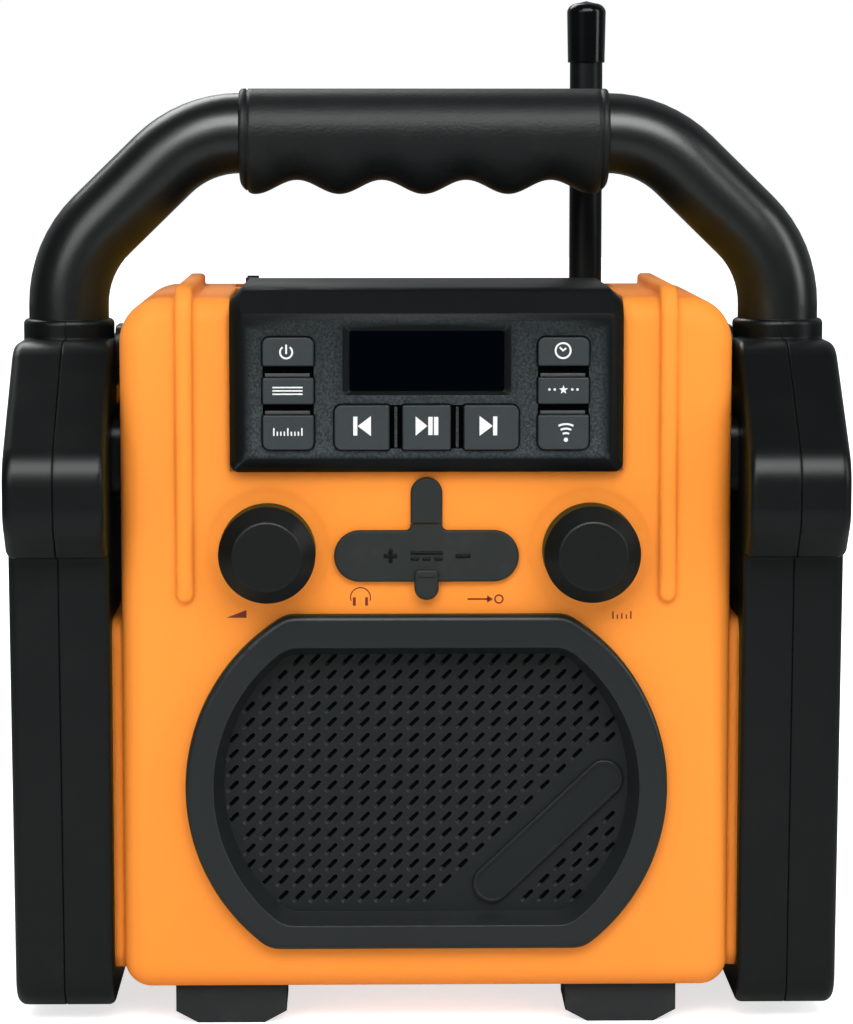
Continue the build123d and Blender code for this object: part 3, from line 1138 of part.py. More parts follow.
with BuildPart() as frame_bolts:
    for side in (1, -1):
        seat_x = FRAME_IN + FRAME_WALL
        extrude(discs(side_plane(side * seat_x), BOLTS, BOLT_HEAD_R), amount=side * BOLT_HEAD_T)
        extrude(discs(side_plane(side * seat_x), BOLTS, BOLT_R),
                amount=-side * (seat_x - inner_side + BOLT_TIP))
save(frame_bolts, "frame_bolts")

gap_in = BODY_W / 2
gap = FRAME_IN - gap_in
with BuildPart() as side_pads:
    for side in (1, -1):
        extrude(rect(side_plane(side * gap_in), PAD_Y0, PAD_Y1, PAD_Z0, PAD_Z1, PAD_R), amount=side * gap)
        extrude(discs(side_plane(side * gap_in), BOLTS[:4], BOLT_R + FIT), amount=side * gap,
                mode=Mode.SUBTRACT)
        extrude(rect(side_plane(side * gap_in), -STOP_HALF, STOP_HALF, STOP_Z[0], STOP_Z[1], 2), amount=side * gap)
save(side_pads, "side_pads")

with BuildPart() as hub_spacers:
    for side in (1, -1):
        extrude(rect(side_plane(side * gap_in), SPACER_Y[0], SPACER_Y[1], SPACER_Z[0], SPACER_Z[1], PAD_R),
                amount=side * gap)
        extrude(discs(side_plane(side * gap_in), BOLTS[4:], BOLT_R + FIT), amount=side * gap,
                mode=Mode.SUBTRACT)
        y0, y1 = SPACER_TOP_Y
        low, high = SPACER_TOP_Z
        extrude(polygon(side_plane(side * gap_in), [(y0, low, 1), (y1, low, 1), (y1, high, 5), (y0, high, 5)]),
                amount=side * gap)
save(hub_spacers, "hub_spacers")

# ---------------------------------------------------------------- feet
with BuildPart() as feet:
    for x in (-FOOT_X, FOOT_X):
        for y in FOOT_Y:
            extrude(polygon(front_plane(y + FOOT_L / 2), [
                (x - FOOT_W / 2, BODY_Z0, 0),
                (x - FOOT_W / 2, FOOT_CUT_Z, 0),
                (x - FOOT_W / 2 + FOOT_CUT_X, 0, 0),
                (x + FOOT_W / 2 - FOOT_CUT_X, 0, 0),
                (x + FOOT_W / 2, FOOT_CUT_Z, 0),
                (x + FOOT_W / 2, BODY_Z0, 0)]), amount=FOOT_L)
            extrude(discs(Plane.XY.offset(BODY_Z0 - 1), [(x, y)], FOOT_PLUG_R), amount=WALL + 1)
save(feet, "feet")

# ---------------------------------------------------------------- battery bay
door_in = BODY_BACK - DOOR_T
cell_y = (bay_floor + door_in) / 2
cell_rows = [BAY_Z0 + CELL_R + 1.2, BAY_Z1 - CELL_R - 1.2]
with BuildPart() as battery_cells:
    for side in (1, -1):
        spots = [(cell_y, z) for z in cell_rows]
        extrude(discs(side_plane(side * FIT), spots, CELL_R), amount=side * (CELL_L - 1.5))
        extrude(discs(side_plane(side * FIT), spots, 3.5), amount=side * CELL_L)
save(battery_cells, "battery_cells")

with BuildPart() as battery_contacts:
    for side in (1, -1):
        for z in cell_rows:
            plate = side_plane(side * BAY_W / 2)
            extrude(rect(plate, cell_y - 7, cell_y + 7, z - 9, z + 9, 1.0), amount=-side * 0.5)
            extrude(discs(plate, [(cell_y, z)], 4.0), amount=-side * (BAY_W / 2 - CELL_L - FIT))
save(battery_contacts, "battery_contacts")

with BuildPart() as battery_door:
    half = BAY_W / 2 - RUN
    extrude(rect(front_plane(BODY_BACK), -half, half, DOOR_AXIS_Z, BAY_Z1 - RUN), amount=DOOR_T)
    extrude(discs(side_plane(-half), [(DOOR_AXIS_Y, DOOR_AXIS_Z)], DOOR_KNUCKLE_R), amount=2 * half)
    pins = half + RUN + DOOR_PIN_L - RUN
    extrude(discs(side_plane(-pins), [(DOOR_AXIS_Y, DOOR_AXIS_Z)], DOOR_PIN_R), amount=2 * pins)
save(battery_door, "battery_door")

with BuildPart() as battery_latch:
    extrude(rect(front_plane(BODY_BACK + 1.4), -LATCH_W / 2, LATCH_W / 2, BAY_Z1 - 9.0, BAY_Z1 - 2.0, 1.5),
            amount=1.4)
    extrude(rect(front_plane(BODY_BACK + 2.2), -LATCH_W / 2 + 2, LATCH_W / 2 - 2, BAY_Z1 - 4.4,
                 BAY_Z1 - 3.2), amount=1.0)
save(battery_latch, "battery_latch")

# ---------------------------------------------------------------- inlet and main board
with BuildPart() as dc_inlet:
    inlet = [(INLET_X, INLET_Z)]
    extrude(discs(front_plane(BODY_BACK), inlet, INLET_COLLAR_R), amount=WALL + 1)
    extrude(rect(front_plane(BODY_BACK - WALL), INLET_X - 5.5, INLET_X + 5.5, INLET_Z - 6.5, INLET_Z + 5.5),
            amount=INLET_DEPTH)
    extrude(discs(front_plane(BODY_BACK + 1), inlet, INLET_R), amount=INLET_DEPTH + 1, mode=Mode.SUBTRACT)
    extrude(discs(front_plane(BODY_BACK - 1.2), inlet, INLET_PIN_R), amount=INLET_DEPTH)
save(dc_inlet, "dc_inlet")

with BuildPart() as main_board:
    extrude(rect(front_plane(MAIN_Y + BOARD_T), -MAIN_W / 2, MAIN_W / 2, MAIN_Z[0], MAIN_Z[1], 2.0),
            amount=BOARD_T)
    extrude(discs(front_plane(MAIN_Y + BOARD_T), board_posts, HSCREW_R + FIT), amount=BOARD_T,
            mode=Mode.SUBTRACT)
    extrude(discs(front_plane(MAIN_Y), [(-34, 132), (-20, 132), (-34, 147)], 5.0), amount=14)
    extrude(rect(front_plane(MAIN_Y), 8, 34, 126, 128), amount=12)
    for k in range(7):
        extrude(rect(front_plane(MAIN_Y), 8 + 4 * k, 10 + 4 * k, 127, 148), amount=12)
    extrude(rect(front_plane(MAIN_Y), -12, 2, 136, 150), amount=1.6)
    extrude(rect(front_plane(MAIN_Y), 40, 46, 128, 146), amount=6)
save(main_board, "main_board")
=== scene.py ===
"""Jobsite radio: finishes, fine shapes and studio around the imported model."""
import math

import bmesh
import bpy
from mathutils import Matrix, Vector


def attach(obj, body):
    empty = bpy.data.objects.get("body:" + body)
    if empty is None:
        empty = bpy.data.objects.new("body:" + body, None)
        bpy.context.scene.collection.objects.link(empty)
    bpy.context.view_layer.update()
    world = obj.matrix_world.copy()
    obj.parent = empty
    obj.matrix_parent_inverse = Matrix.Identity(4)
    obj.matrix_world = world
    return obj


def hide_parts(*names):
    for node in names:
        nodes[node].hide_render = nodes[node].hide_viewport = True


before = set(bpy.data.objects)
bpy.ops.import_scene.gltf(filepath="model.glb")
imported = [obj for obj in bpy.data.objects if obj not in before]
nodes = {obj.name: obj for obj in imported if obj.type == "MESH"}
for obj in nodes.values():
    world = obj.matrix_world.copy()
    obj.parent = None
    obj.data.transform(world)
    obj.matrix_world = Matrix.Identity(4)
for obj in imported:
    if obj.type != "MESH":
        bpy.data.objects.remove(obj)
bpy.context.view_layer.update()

MM = 0.001
scene = bpy.context.scene

# ---------------------------------------------------------------- studio
# A white floor that runs on past the picture, one broad lamp above the camera, and weak ones on
# both sides and behind. Glossy faces see the surround dark in front and brighter behind. The
# camera stands low and a little to the left.
AIM = Vector((0.0, -0.045, 0.1523))
CAMERA_TILT = math.radians(6.3)
CAMERA_SWING = math.radians(-1.0)
CAMERA_REACH = 1.010
CAMERA_LENS = 123.05
FLOOR_HALF = 6.0

towards_camera = Vector((math.sin(CAMERA_SWING) * math.cos(CAMERA_TILT),
                         -math.cos(CAMERA_SWING) * math.cos(CAMERA_TILT), math.sin(CAMERA_TILT)))


def put(name, data):
    """New object in the scene."""
    thing = bpy.data.objects.new(name, data)
    scene.collection.objects.link(thing)
    return thing


camera = put("camera", bpy.data.cameras.new("camera"))
camera.location = AIM + towards_camera * CAMERA_REACH
camera.rotation_euler = (-towards_camera).to_track_quat("-Z", "Y").to_euler()
camera.data.lens = CAMERA_LENS
camera.data.sensor_width = 36.0
camera.data.clip_start = 0.02
camera.data.clip_end = 40.0
scene.camera = camera
scene.view_settings.view_transform = "Standard"
scene.view_settings.look = "None"


def add_node(tree, kind, links=(), **settings):
    """New node with its properties set, then its inputs, each to a value or to another socket."""
    node = tree.nodes.new(kind)
    for key, value in settings.items():
        setattr(node, key, value)
    for socket, value in links:
        target = node.inputs[socket]
        if isinstance(value, bpy.types.NodeSocket):
            tree.links.new(value, target)
        else:
            target.default_value = value
    return node


def node_out(tree, kind, links=(), **settings):
    """First output of a new node."""
    return add_node(tree, kind, links, **settings).outputs[0]


def calc(tree, operation, *values, clamp=False):
    """Output of a math node."""
    return node_out(tree, "ShaderNodeMath", list(enumerate(values)), operation=operation, use_clamp=clamp)


def new_material(name):
    """Empty node material with its shader and output joined: (material, tree, shader)."""
    material = bpy.data.materials.new(name)
    material.use_nodes = True
    tree = material.node_tree
    tree.nodes.clear()
    shader = add_node(tree, "ShaderNodeBsdfPrincipled")
    out = add_node(tree, "ShaderNodeOutputMaterial")
    tree.links.new(shader.outputs["BSDF"], out.inputs["Surface"])
    return material, tree, shader


def object_place(tree):
    """Place of the shaded point in the object's own frame."""
    return add_node(tree, "ShaderNodeTexCoord").outputs["Object"]


def noise(tree, where, scale, detail=2.0, roughness=0.5):
    """Value of a noise pattern."""
    return node_out(tree, "ShaderNodeTexNoise", [("Vector", where), ("Scale", scale), ("Detail", detail),
                                                 ("Roughness", roughness)])


def remap(tree, value, low, high, to_low=0.0, to_high=1.0):
    """Value taken from one range to another and held at its ends."""
    return node_out(tree, "ShaderNodeMapRange", [("Value", value), ("From Min", low), ("From Max", high),
                                                 ("To Min", to_low), ("To Max", to_high)])


def mixed(tree, share, first, second):
    """Colour between two, each of them three numbers or a socket."""
    first, second = (c if isinstance(c, bpy.types.NodeSocket) else (*c, 1) for c in (first, second))
    return add_node(tree, "ShaderNodeMix", [(0, share), (6, first), (7, second)], data_type="RGBA").outputs[2]


def softbox(name, size, spot, aim, power):
    """Flat lamp of a given size that looks at a point."""
    data = bpy.data.lights.new(name, "AREA")
    data.shape = "RECTANGLE"
    data.size, data.size_y = size
    data.energy = power
    lamp = put(name, data)
    lamp.location = spot
    lamp.rotation_euler = (Vector(aim) - Vector(spot)).to_track_quat("-Z", "Y").to_euler()
    return lamp


PANEL_SPOT = (0.0, -0.05, 0.17)
MIDDLE_SPOT = (0.0, 0.0, 0.14)
softbox("key_lamp", (1.4, 0.75), (0.12, -1.15, 1.18), PANEL_SPOT, 17.5)
softbox("left_lamp", (0.8, 0.8), (-0.75, -1.25, 0.75), PANEL_SPOT, 3.8)
softbox("right_lamp", (0.4, 1.0), (1.4, -0.5, 0.70), MIDDLE_SPOT, 4.0)
softbox("back_lamp", (1.4, 0.9), (-0.7, 1.4, 1.6), MIDDLE_SPOT, 15.0)

surround = bpy.data.worlds.new("surround")
surround.use_nodes = True
sky = surround.node_tree
sky.nodes.clear()
seen = add_node(sky, "ShaderNodeLightPath").outputs
way = add_node(sky, "ShaderNodeTexCoord").outputs["Generated"]
way = add_node(sky, "ShaderNodeSeparateXYZ", [(0, way)]).outputs["Y"]
behind = remap(sky, way, 0.15, 0.70, 0.035, 0.26)
fill = node_out(sky, "ShaderNodeBackground", [("Color", (1.0, 1.0, 1.0, 1.0)), ("Strength", 0.42)])
dim = node_out(sky, "ShaderNodeBackground", [("Color", (0.93, 1.0, 1.0, 1.0)), ("Strength", behind)])
backdrop = node_out(sky, "ShaderNodeBackground", [("Color", (1.0, 1.0, 1.0, 1.0)), ("Strength", 1.0)])
lit = node_out(sky, "ShaderNodeMixShader", [(0, seen["Is Glossy Ray"]), (1, fill), (2, dim)])
lit = node_out(sky, "ShaderNodeMixShader", [(0, seen["Is Camera Ray"]), (1, lit), (2, backdrop)])
add_node(sky, "ShaderNodeOutputWorld", [("Surface", lit)])
scene.world = surround

floor_mesh = bpy.data.meshes.new("floor")
floor_mesh.from_pydata([(-FLOOR_HALF, -FLOOR_HALF, 0), (FLOOR_HALF, -FLOOR_HALF, 0),
                        (FLOOR_HALF, FLOOR_HALF, 0), (-FLOOR_HALF, FLOOR_HALF, 0)], [], [(0, 1, 2, 3)])
floor = put("floor", floor_mesh)
paper, tree, shader = new_material("studio_paper")
where = object_place(tree)
seen = add_node(tree, "ShaderNodeLightPath").outputs
tone = mixed(tree, noise(tree, where, 3.0), (0.93, 0.93, 0.93), (0.96, 0.96, 0.96))
run = add_node(tree, "ShaderNodeVectorMath", [(0, where)], operation="LENGTH").outputs["Value"]
near = remap(tree, run, 0.25, 1.1)
gloss = mixed(tree, near, (0.33, 0.36, 0.36), (0.05, 0.06, 0.06))
tone = mixed(tree, seen["Is Glossy Ray"], tone, gloss)
tree.links.new(tone, shader.inputs["Base Color"])
shader.inputs["Roughness"].default_value = 0.8
shader.inputs["Specular IOR Level"].default_value = 0.1
shader.inputs["Emission Color"].default_value = (1.0, 1.0, 1.0, 1.0)
lift = calc(tree, "MULTIPLY", remap(tree, run, 0.2, 1.0, 0.70, 1.0), seen["Is Camera Ray"])
tree.links.new(lift, shader.inputs["Emission Strength"])
floor_mesh.materials.append(paper)

# ---------------------------------------------------------------- housing
# Two injection-moulded shells with a seal between them, screwed together from the rear. Their
# orange is through-coloured, with a fine spark-eroded grain that dulls the shine.


def group_tree(name, inputs, outputs, kind="ShaderNodeTree"):
    """Node group with named inputs and outputs: (tree, input node, output node)."""
    tree = bpy.data.node_groups.new(name, kind)
    for label, socket_kind, value in inputs:
        socket = tree.interface.new_socket(label, in_out="INPUT", socket_type=socket_kind)
        if value is not None:
            socket.default_value = value
    for label, socket_kind in outputs:
        tree.interface.new_socket(label, in_out="OUTPUT", socket_type=socket_kind)
    ends = "NodeGroupInput", "NodeGroupOutput"
    return tree, tree.nodes.new(ends[0]), tree.nodes.new(ends[1])


FLOAT, COLOUR, VECTOR = "NodeSocketFloat", "NodeSocketColor", "NodeSocketVector"
skin_group, given, out = group_tree(
    "moulded_skin",
    [("Colour", COLOUR, None), ("Colour low", COLOUR, None), ("Patch scale", FLOAT, 9.0),
     ("Grain scale", FLOAT, 2000.0), ("Roughness", FLOAT, 0.45), ("Roughness spread", FLOAT, 0.1),
     ("Dust", FLOAT, 0.0)],
    [("Colour", COLOUR), ("Roughness", FLOAT), ("Height", FLOAT)])
colour, colour_low, patch_scale, grain_scale, dull, dull_spread, dust = given.outputs[:7]
where = object_place(skin_group)
patch = noise(skin_group, where, patch_scale, 4.0, 0.6)
grain = noise(skin_group, where, grain_scale, 1.5)
scuffs = noise(skin_group, where, 70.0, 6.0, 0.75)
tint = mixed(skin_group, remap(skin_group, patch, 0.32, 0.68), colour_low, colour)
dusty = calc(skin_group, "MULTIPLY", dust, remap(skin_group, scuffs, 0.52, 0.78))
tint = mixed(skin_group, dusty, tint, (0.30, 0.29, 0.27))
uneven = calc(skin_group, "ADD", patch, calc(skin_group, "MULTIPLY", scuffs, 0.6))
uneven = calc(skin_group, "SUBTRACT", uneven, 0.8)
rough = calc(skin_group, "ADD", dull, calc(skin_group, "MULTIPLY", uneven, dull_spread))
rough = calc(skin_group, "ADD", rough, calc(skin_group, "MULTIPLY", dusty, 0.4))
height = calc(skin_group, "ADD", grain, calc(skin_group, "MULTIPLY", scuffs, 0.15))
for i, value in enumerate((tint, rough, height)):
    skin_group.links.new(value, out.inputs[i])

# Painted edge light: a mask on rounded edges, broken by noise, where a moulding takes its edge colour as a
# painted highlight or painted shade.
edge_group, given, out = group_tree("edge_rub", [("Rounded", VECTOR, None), ("Strength", FLOAT, 0.5)],
                                    [("Mask", FLOAT)])
rounded, strength = given.outputs[:2]
facing = add_node(edge_group, "ShaderNodeNewGeometry").outputs["Normal"]
agree = add_node(edge_group, "ShaderNodeVectorMath", [(0, rounded), (1, facing)],
                 operation="DOT_PRODUCT").outputs["Value"]
bend = remap(edge_group, calc(edge_group, "SUBTRACT", 1.0, agree), 0.02, 0.30)
broken = remap(edge_group, noise(edge_group, object_place(edge_group), 160.0, 4.0), 0.30, 0.62)
edge_light_mask = calc(edge_group, "MULTIPLY", calc(edge_group, "MULTIPLY", bend, broken), strength, clamp=True)
edge_group.links.new(edge_light_mask, out.inputs[0])


def set_skin(tree, shader, colour, roughness, relief):
    """Joins colour, roughness and relief to a shader."""
    for name, value in (("Base Color", colour), ("Roughness", roughness), ("Normal", relief)):
        tree.links.new(value, shader.inputs[name])


def moulding(name, colour, low, roughness, grain_scale=2000.0, grain_depth=0.00003, spread=0.12,
             patch_scale=9.0, dust=0.0, edge=None, edge_radius=0.0007, edge_strength=0.35, shine=0.5):
    """Material of a moulded piece: skin group, soft edges with a painted edge tint (a painted highlight on
    dark pieces, painted shade on the orange), and grain relief.
    """
    material, tree, shader = new_material(name)
    skin = add_node(tree, "ShaderNodeGroup", node_tree=skin_group)
    for socket, value in (("Colour", (*colour, 1)), ("Colour low", (*low, 1)), ("Patch scale", patch_scale),
                          ("Grain scale", grain_scale), ("Roughness", roughness),
                          ("Roughness spread", spread), ("Dust", dust)):
        skin.inputs[socket].default_value = value
    rounded = node_out(tree, "ShaderNodeBevel", [("Radius", edge_radius)], samples=4)
    edge_light = add_node(tree, "ShaderNodeGroup", node_tree=edge_group)
    tree.links.new(rounded, edge_light.inputs[0])
    edge_light.inputs[1].default_value = edge_strength
    tint = mixed(tree, edge_light.outputs[0], skin.outputs[0], edge or colour)
    relief = node_out(tree, "ShaderNodeBump", [("Strength", 1.0), ("Distance", grain_depth),
                                               ("Height", skin.outputs[2]), ("Normal", rounded)])
    set_skin(tree, shader, tint, skin.outputs[1], relief)
    shader.inputs["Specular IOR Level"].default_value = shine
    return material


def base_colour(material):
    """Tree of a finished material, its base colour socket and what feeds it."""
    tree = material.node_tree
    socket = next(n for n in tree.nodes if n.type == "BSDF_PRINCIPLED").inputs["Base Color"]
    return tree, socket, socket.links[0].from_socket


def dress(material, *names):
    """Gives CAD nodes their material."""
    for name in names:
        nodes[name].data.materials.clear()
        nodes[name].data.materials.append(material)


# The orange's darker, more saturated edge colour is painted shade on its rounded edges.
orange = moulding("orange_plastic", (0.95, 0.298, 0.042), (0.93, 0.278, 0.034), 0.55, grain_scale=1700.0,
                  grain_depth=0.000022, edge=(0.93, 0.22, 0.008), edge_radius=0.0026, edge_strength=0.4,
                  dust=0.01, shine=0.15)
tree, socket, plain = base_colour(orange)
# Seen in reflections the orange is painted darker, a painted dimming of its reflection in the black parts.
mirrored = add_node(tree, "ShaderNodeLightPath").outputs["Is Glossy Ray"]
tree.links.new(mixed(tree, mirrored, plain, (0.30, 0.165, 0.008)), socket)
seal = moulding("seal_rubber", (0.014, 0.014, 0.015), (0.010, 0.010, 0.011), 0.7, grain_depth=0.00002,
                shine=0.2)
dress(orange, "front_shell", "rear_shell", "side_pads")
dress(seal, "shell_gasket")

SPLIT_Y = 6.0
SCREW_SEAT_DEPTH = 16.0
HOUSING_SCREWS = [(x, z) for z in (26.0, 134.0, 200.0) for x in (-76.0, 76.0)]


def plated(name, colour, roughness, scale):
    """Plated metal with fine drawn lines and a dull film."""
    material, tree, shader = new_material(name)
    where = object_place(tree)
    cloud = noise(tree, where, 240.0, 5.0)
    tint = mixed(tree, cloud, [c * 0.72 for c in colour], colour)
    relief = node_out(tree, "ShaderNodeBump", [("Distance", 0.00001), ("Height", noise(tree, where, scale))])
    set_skin(tree, shader, tint, calc(tree, "ADD", roughness, calc(tree, "MULTIPLY", cloud, 0.2)), relief)
    shader.inputs["Metallic"].default_value = 1.0
    return material


zinc = plated("zinc_plate", (0.62, 0.62, 0.60), 0.24, 2600.0)
blackened = plated("blackened_steel", (0.055, 0.055, 0.06), 0.38, 2600.0)

GEOMETRY = "NodeSocketGeometry"
screw_tree, given, out = group_tree(
    "socket_screws",
    [("Geometry", GEOMETRY, None), ("Head radius", FLOAT, 0.003), ("Head height", FLOAT, 0.002),
     ("Shank radius", FLOAT, 0.0015), ("Shank length", FLOAT, 0.016), ("Key radius", FLOAT, 0.0014),
     ("Key depth", FLOAT, 0.0012)],
    [("Geometry", GEOMETRY)], "GeometryNodeTree")
seats, head_r, head_h, shank_r, shank_l, key_r, key_d = given.outputs[:7]


def vector(tree, **parts):
    """Vector put together from its parts."""
    return node_out(tree, "ShaderNodeCombineXYZ", list(parts.items()))


def lifted(tree, geometry, height):
    """Geometry moved up by a height."""
    shift = vector(tree, Z=height)
    return node_out(tree, "GeometryNodeTransform", [("Geometry", geometry), ("Translation", shift)])


def drum(tree, sides, radius, depth, middle):
    """Closed cylinder with its middle at a height."""
    solid = node_out(tree, "GeometryNodeMeshCylinder", [("Vertices", sides), ("Radius", radius),
                                                        ("Depth", depth)])
    return lifted(tree, solid, middle)


head = drum(screw_tree, 36, head_r, head_h, calc(screw_tree, "MULTIPLY", head_h, 0.5))
key = drum(screw_tree, 6, key_r, calc(screw_tree, "MULTIPLY", key_d, 2.0), head_h)
head = node_out(screw_tree, "GeometryNodeMeshBoolean", [(0, head), (1, key)], operation="DIFFERENCE")
shank = drum(screw_tree, 20, shank_r, shank_l, calc(screw_tree, "MULTIPLY", shank_l, -0.5))
one = add_node(screw_tree, "GeometryNodeJoinGeometry")
screw_tree.links.new(shank, one.inputs[0])
screw_tree.links.new(head, one.inputs[0])
axis = add_node(screw_tree, "GeometryNodeInputNamedAttribute", [("Name", "axis")], data_type="FLOAT_VECTOR")
turn = node_out(screw_tree, "FunctionNodeAlignRotationToVector", [("Vector", axis.outputs[0])], axis="Z")
spread = node_out(screw_tree, "GeometryNodeInstanceOnPoints",
                  [("Points", seats), ("Instance", one.outputs[0]), ("Rotation", turn)])
solid = node_out(screw_tree, "GeometryNodeRealizeInstances", [(0, spread)])
coated = node_out(screw_tree, "GeometryNodeSetMaterial", [("Geometry", solid), ("Material", blackened)])
screw_tree.links.new(coated, out.inputs[0])


def shaped(name, mesh, tree, body, **values):
    """Piece made by a geometry tree on a base mesh, as a plain mesh that rides on a body."""
    piece = put(name, mesh)
    shaper = piece.modifiers.new(tree.name, "NODES")
    shaper.node_group = tree
    for item in tree.interface.items_tree:
        label = item.name.lower().replace(" ", "_")
        if item.item_type == "SOCKET" and item.in_out == "INPUT" and label in values:
            shaper[item.identifier] = values[label]
    bpy.context.view_layer.update()
    seen_by = bpy.context.evaluated_depsgraph_get()
    made = bpy.data.meshes.new_from_object(piece.evaluated_get(seen_by))
    piece.modifiers.clear()
    piece.data = made
    made.name = name
    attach(piece, body)
    return piece


def screw_set(name, seats, node, **sizes):
    """Screws on seats, each a point in mm and the direction its head faces."""
    mesh = bpy.data.meshes.new(name)
    mesh.from_pydata([Vector(spot) * MM for spot, axis in seats], [], [])
    axes = mesh.attributes.new("axis", "FLOAT_VECTOR", "POINT")
    for i, (spot, axis) in enumerate(seats):
        axes.data[i].vector = axis
    piece = shaped(name, mesh, screw_tree, "chassis", **sizes)
    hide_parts(node)
    return piece


screw_set("rear_screws", [((x, SPLIT_Y + SCREW_SEAT_DEPTH, z), (0, 1, 0)) for x, z in HOUSING_SCREWS],
          "housing_screws", head_radius=0.0029, head_height=0.0022, shank_radius=0.0015,
          shank_length=0.028, key_radius=0.0014, key_depth=0.0012)

# ---------------------------------------------------------------- control panel
# A black moulding hooked over the top front edge of the housing. A smooth slope joins its top to
# its face, which has a fine sparkling grain, and a sloped rim leads down to the display. Where the
# face looks to the front it is painted a lighter grey, a painted sheen strongest low down. The
# model's rounded top edge is cut to that slope here.
panel_black = moulding("panel_black", (0.0042, 0.0056, 0.0058), (0.0034, 0.0047, 0.0049), 0.40,
                       grain_scale=2400.0, grain_depth=0.00006, edge=(0.065, 0.07, 0.07),
                       edge_radius=0.0004, edge_strength=0.25, shine=0.18)


def painted_front_sheen(material, colour, low, high, least, speck):
    """Paints a lighter grey sheen on a moulding where it looks straight to the front, strongest low down and
    weaker from one height to another, broken by grain specks.
    """
    tree, socket, plain = base_colour(material)
    facing = add_node(tree, "ShaderNodeNewGeometry").outputs["Normal"]
    facing = add_node(tree, "ShaderNodeSeparateXYZ", [(0, facing)]).outputs["Y"]
    straight = remap(tree, facing, -0.93, -0.99)
    where = object_place(tree)
    height = add_node(tree, "ShaderNodeSeparateXYZ", [(0, where)]).outputs["Z"]
    share = remap(tree, height, low * MM, high * MM, 1.0, least)
    specks = remap(tree, noise(tree, where, 1500.0), 0.35, 0.65, speck, 1.0)
    share = calc(tree, "MULTIPLY", calc(tree, "MULTIPLY", straight, share), specks)
    tree.links.new(mixed(tree, share, plain, colour), socket)


# The panel face takes a painted sheen: lighter grey where it looks straight to the front, fading from the low
# height to the high one.
PANEL_LOW_Z = 172.0
PANEL_HIGH_Z = 210.0
painted_front_sheen(panel_black, (0.056, 0.070, 0.073), PANEL_LOW_Z, PANEL_HIGH_Z, 0.35, 0.35)
board_green = moulding("circuit_board", (0.010, 0.085, 0.030), (0.006, 0.055, 0.020), 0.42,
                       grain_scale=500.0, grain_depth=0.00002, patch_scale=120.0)
SLOPE_SPOT = Vector((0.0, -48.18, 213.01))
SLOPE_TILT = math.radians(42.0)
SLOPE_WAY = Vector((0.0, -math.cos(SLOPE_TILT), math.sin(SLOPE_TILT)))
SHARP_FROM = math.radians(25.0)
bm = bmesh.new()
bm.from_mesh(nodes["control_panel"].data)
bmesh.ops.remove_doubles(bm, verts=bm.verts, dist=0.000005)
cut = bmesh.ops.bisect_plane(bm, geom=bm.verts[:] + bm.edges[:] + bm.faces[:], plane_co=SLOPE_SPOT * MM,
                             plane_no=SLOPE_WAY, clear_outer=True)
border = [item for item in cut["geom_cut"] if isinstance(item, bmesh.types.BMEdge)]
for face in bmesh.ops.contextual_create(bm, geom=border)["faces"]:
    face.normal_update()
    if face.normal.dot(SLOPE_WAY) < 0:
        face.normal_flip()
mesh = bpy.data.meshes.new("panel")
bm.to_mesh(mesh)
bm.free()
mesh.shade_smooth()
mesh.set_sharp_from_angle(angle=SHARP_FROM)
mesh.materials.append(panel_black)
panel = put("panel", mesh)
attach(panel, "chassis")
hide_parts("control_panel")
dress(board_green, "control_board", "main_board")

# ---------------------------------------------------------------- display
# A tinted acrylic lens, polished and cemented into the window, over the dark display module. It
# is coated against glare, so it shows deep black.
lens, tree, shader = new_material("tinted_lens")
where = object_place(tree)
smear = noise(tree, where, 55.0, 5.0)
tint = mixed(tree, smear, (0.0002, 0.0009, 0.0018), (0.0004, 0.0013, 0.0026))
relief = node_out(tree, "ShaderNodeBump", [("Distance", 0.000005), ("Height", noise(tree, where, 30.0))])
set_skin(tree, shader, tint, calc(tree, "ADD", 0.03, calc(tree, "MULTIPLY", smear, 0.05)), relief)
shader.inputs["Specular IOR Level"].default_value = 0.0
cells = moulding("display_glass", (0.05, 0.06, 0.05), (0.035, 0.045, 0.04), 0.2, grain_scale=900.0,
                 grain_depth=0.000005)
dress(lens, "display_lens")
dress(cells, "display_module")

# ---------------------------------------------------------------- keys
# Nine separate caps in smooth dark grey, each with its sign printed in white. The print is a
# thin raised film of ink, so every sign is a piece of its own on its key.
key_grey = moulding("key_grey", (0.0125, 0.0165, 0.0170), (0.0105, 0.0140, 0.0145), 0.42,
                    grain_scale=2600.0, grain_depth=0.000012, edge=(0.05, 0.055, 0.055),
                    edge_radius=0.0003, edge_strength=0.4)
switch_black = moulding("switch_black", (0.0120, 0.0122, 0.0130), (0.009, 0.009, 0.0096), 0.5, shine=0.3)
# Key fronts take the same painted sheen, a little lighter low down.
painted_front_sheen(key_grey, (0.033, 0.043, 0.045), PANEL_LOW_Z, PANEL_HIGH_Z, 0.85, 0.85)
# The ribs' lighter grey is a painted highlight where light falls on them.
slit_grey = moulding("slit_grey", (0.060, 0.066, 0.066), (0.045, 0.050, 0.050), 0.45, grain_depth=0.00001)
gap_black = moulding("gap_black", (0.0006, 0.0008, 0.0009), (0.0004, 0.0005, 0.0006), 0.7, shine=0.02)


def ink(name, colour):
    """Screen-printed ink, a little uneven in cover."""
    material, tree, shader = new_material(name)
    cover = noise(tree, object_place(tree), 900.0, 3.0)
    tint = mixed(tree, cover, [c * 0.88 for c in colour], colour)
    relief = node_out(tree, "ShaderNodeBump", [("Distance", 0.00001), ("Height", cover)])
    set_skin(tree, shader, tint, calc(tree, "ADD", 0.45, calc(tree, "MULTIPLY", cover, 0.25)), relief)
    return material


white_ink = ink("white_ink", (0.80, 0.82, 0.82))
brown_ink = ink("brown_ink", (0.20, 0.018, 0.003))


def arc(radius, start, end, steps=24, x=0.0, z=0.0):
    """Points on an arc, angles in degrees from +x."""
    turns = [math.radians(start + (end - start) * i / steps) for i in range(steps + 1)]
    return [(x + radius * math.cos(a), z + radius * math.sin(a)) for a in turns]


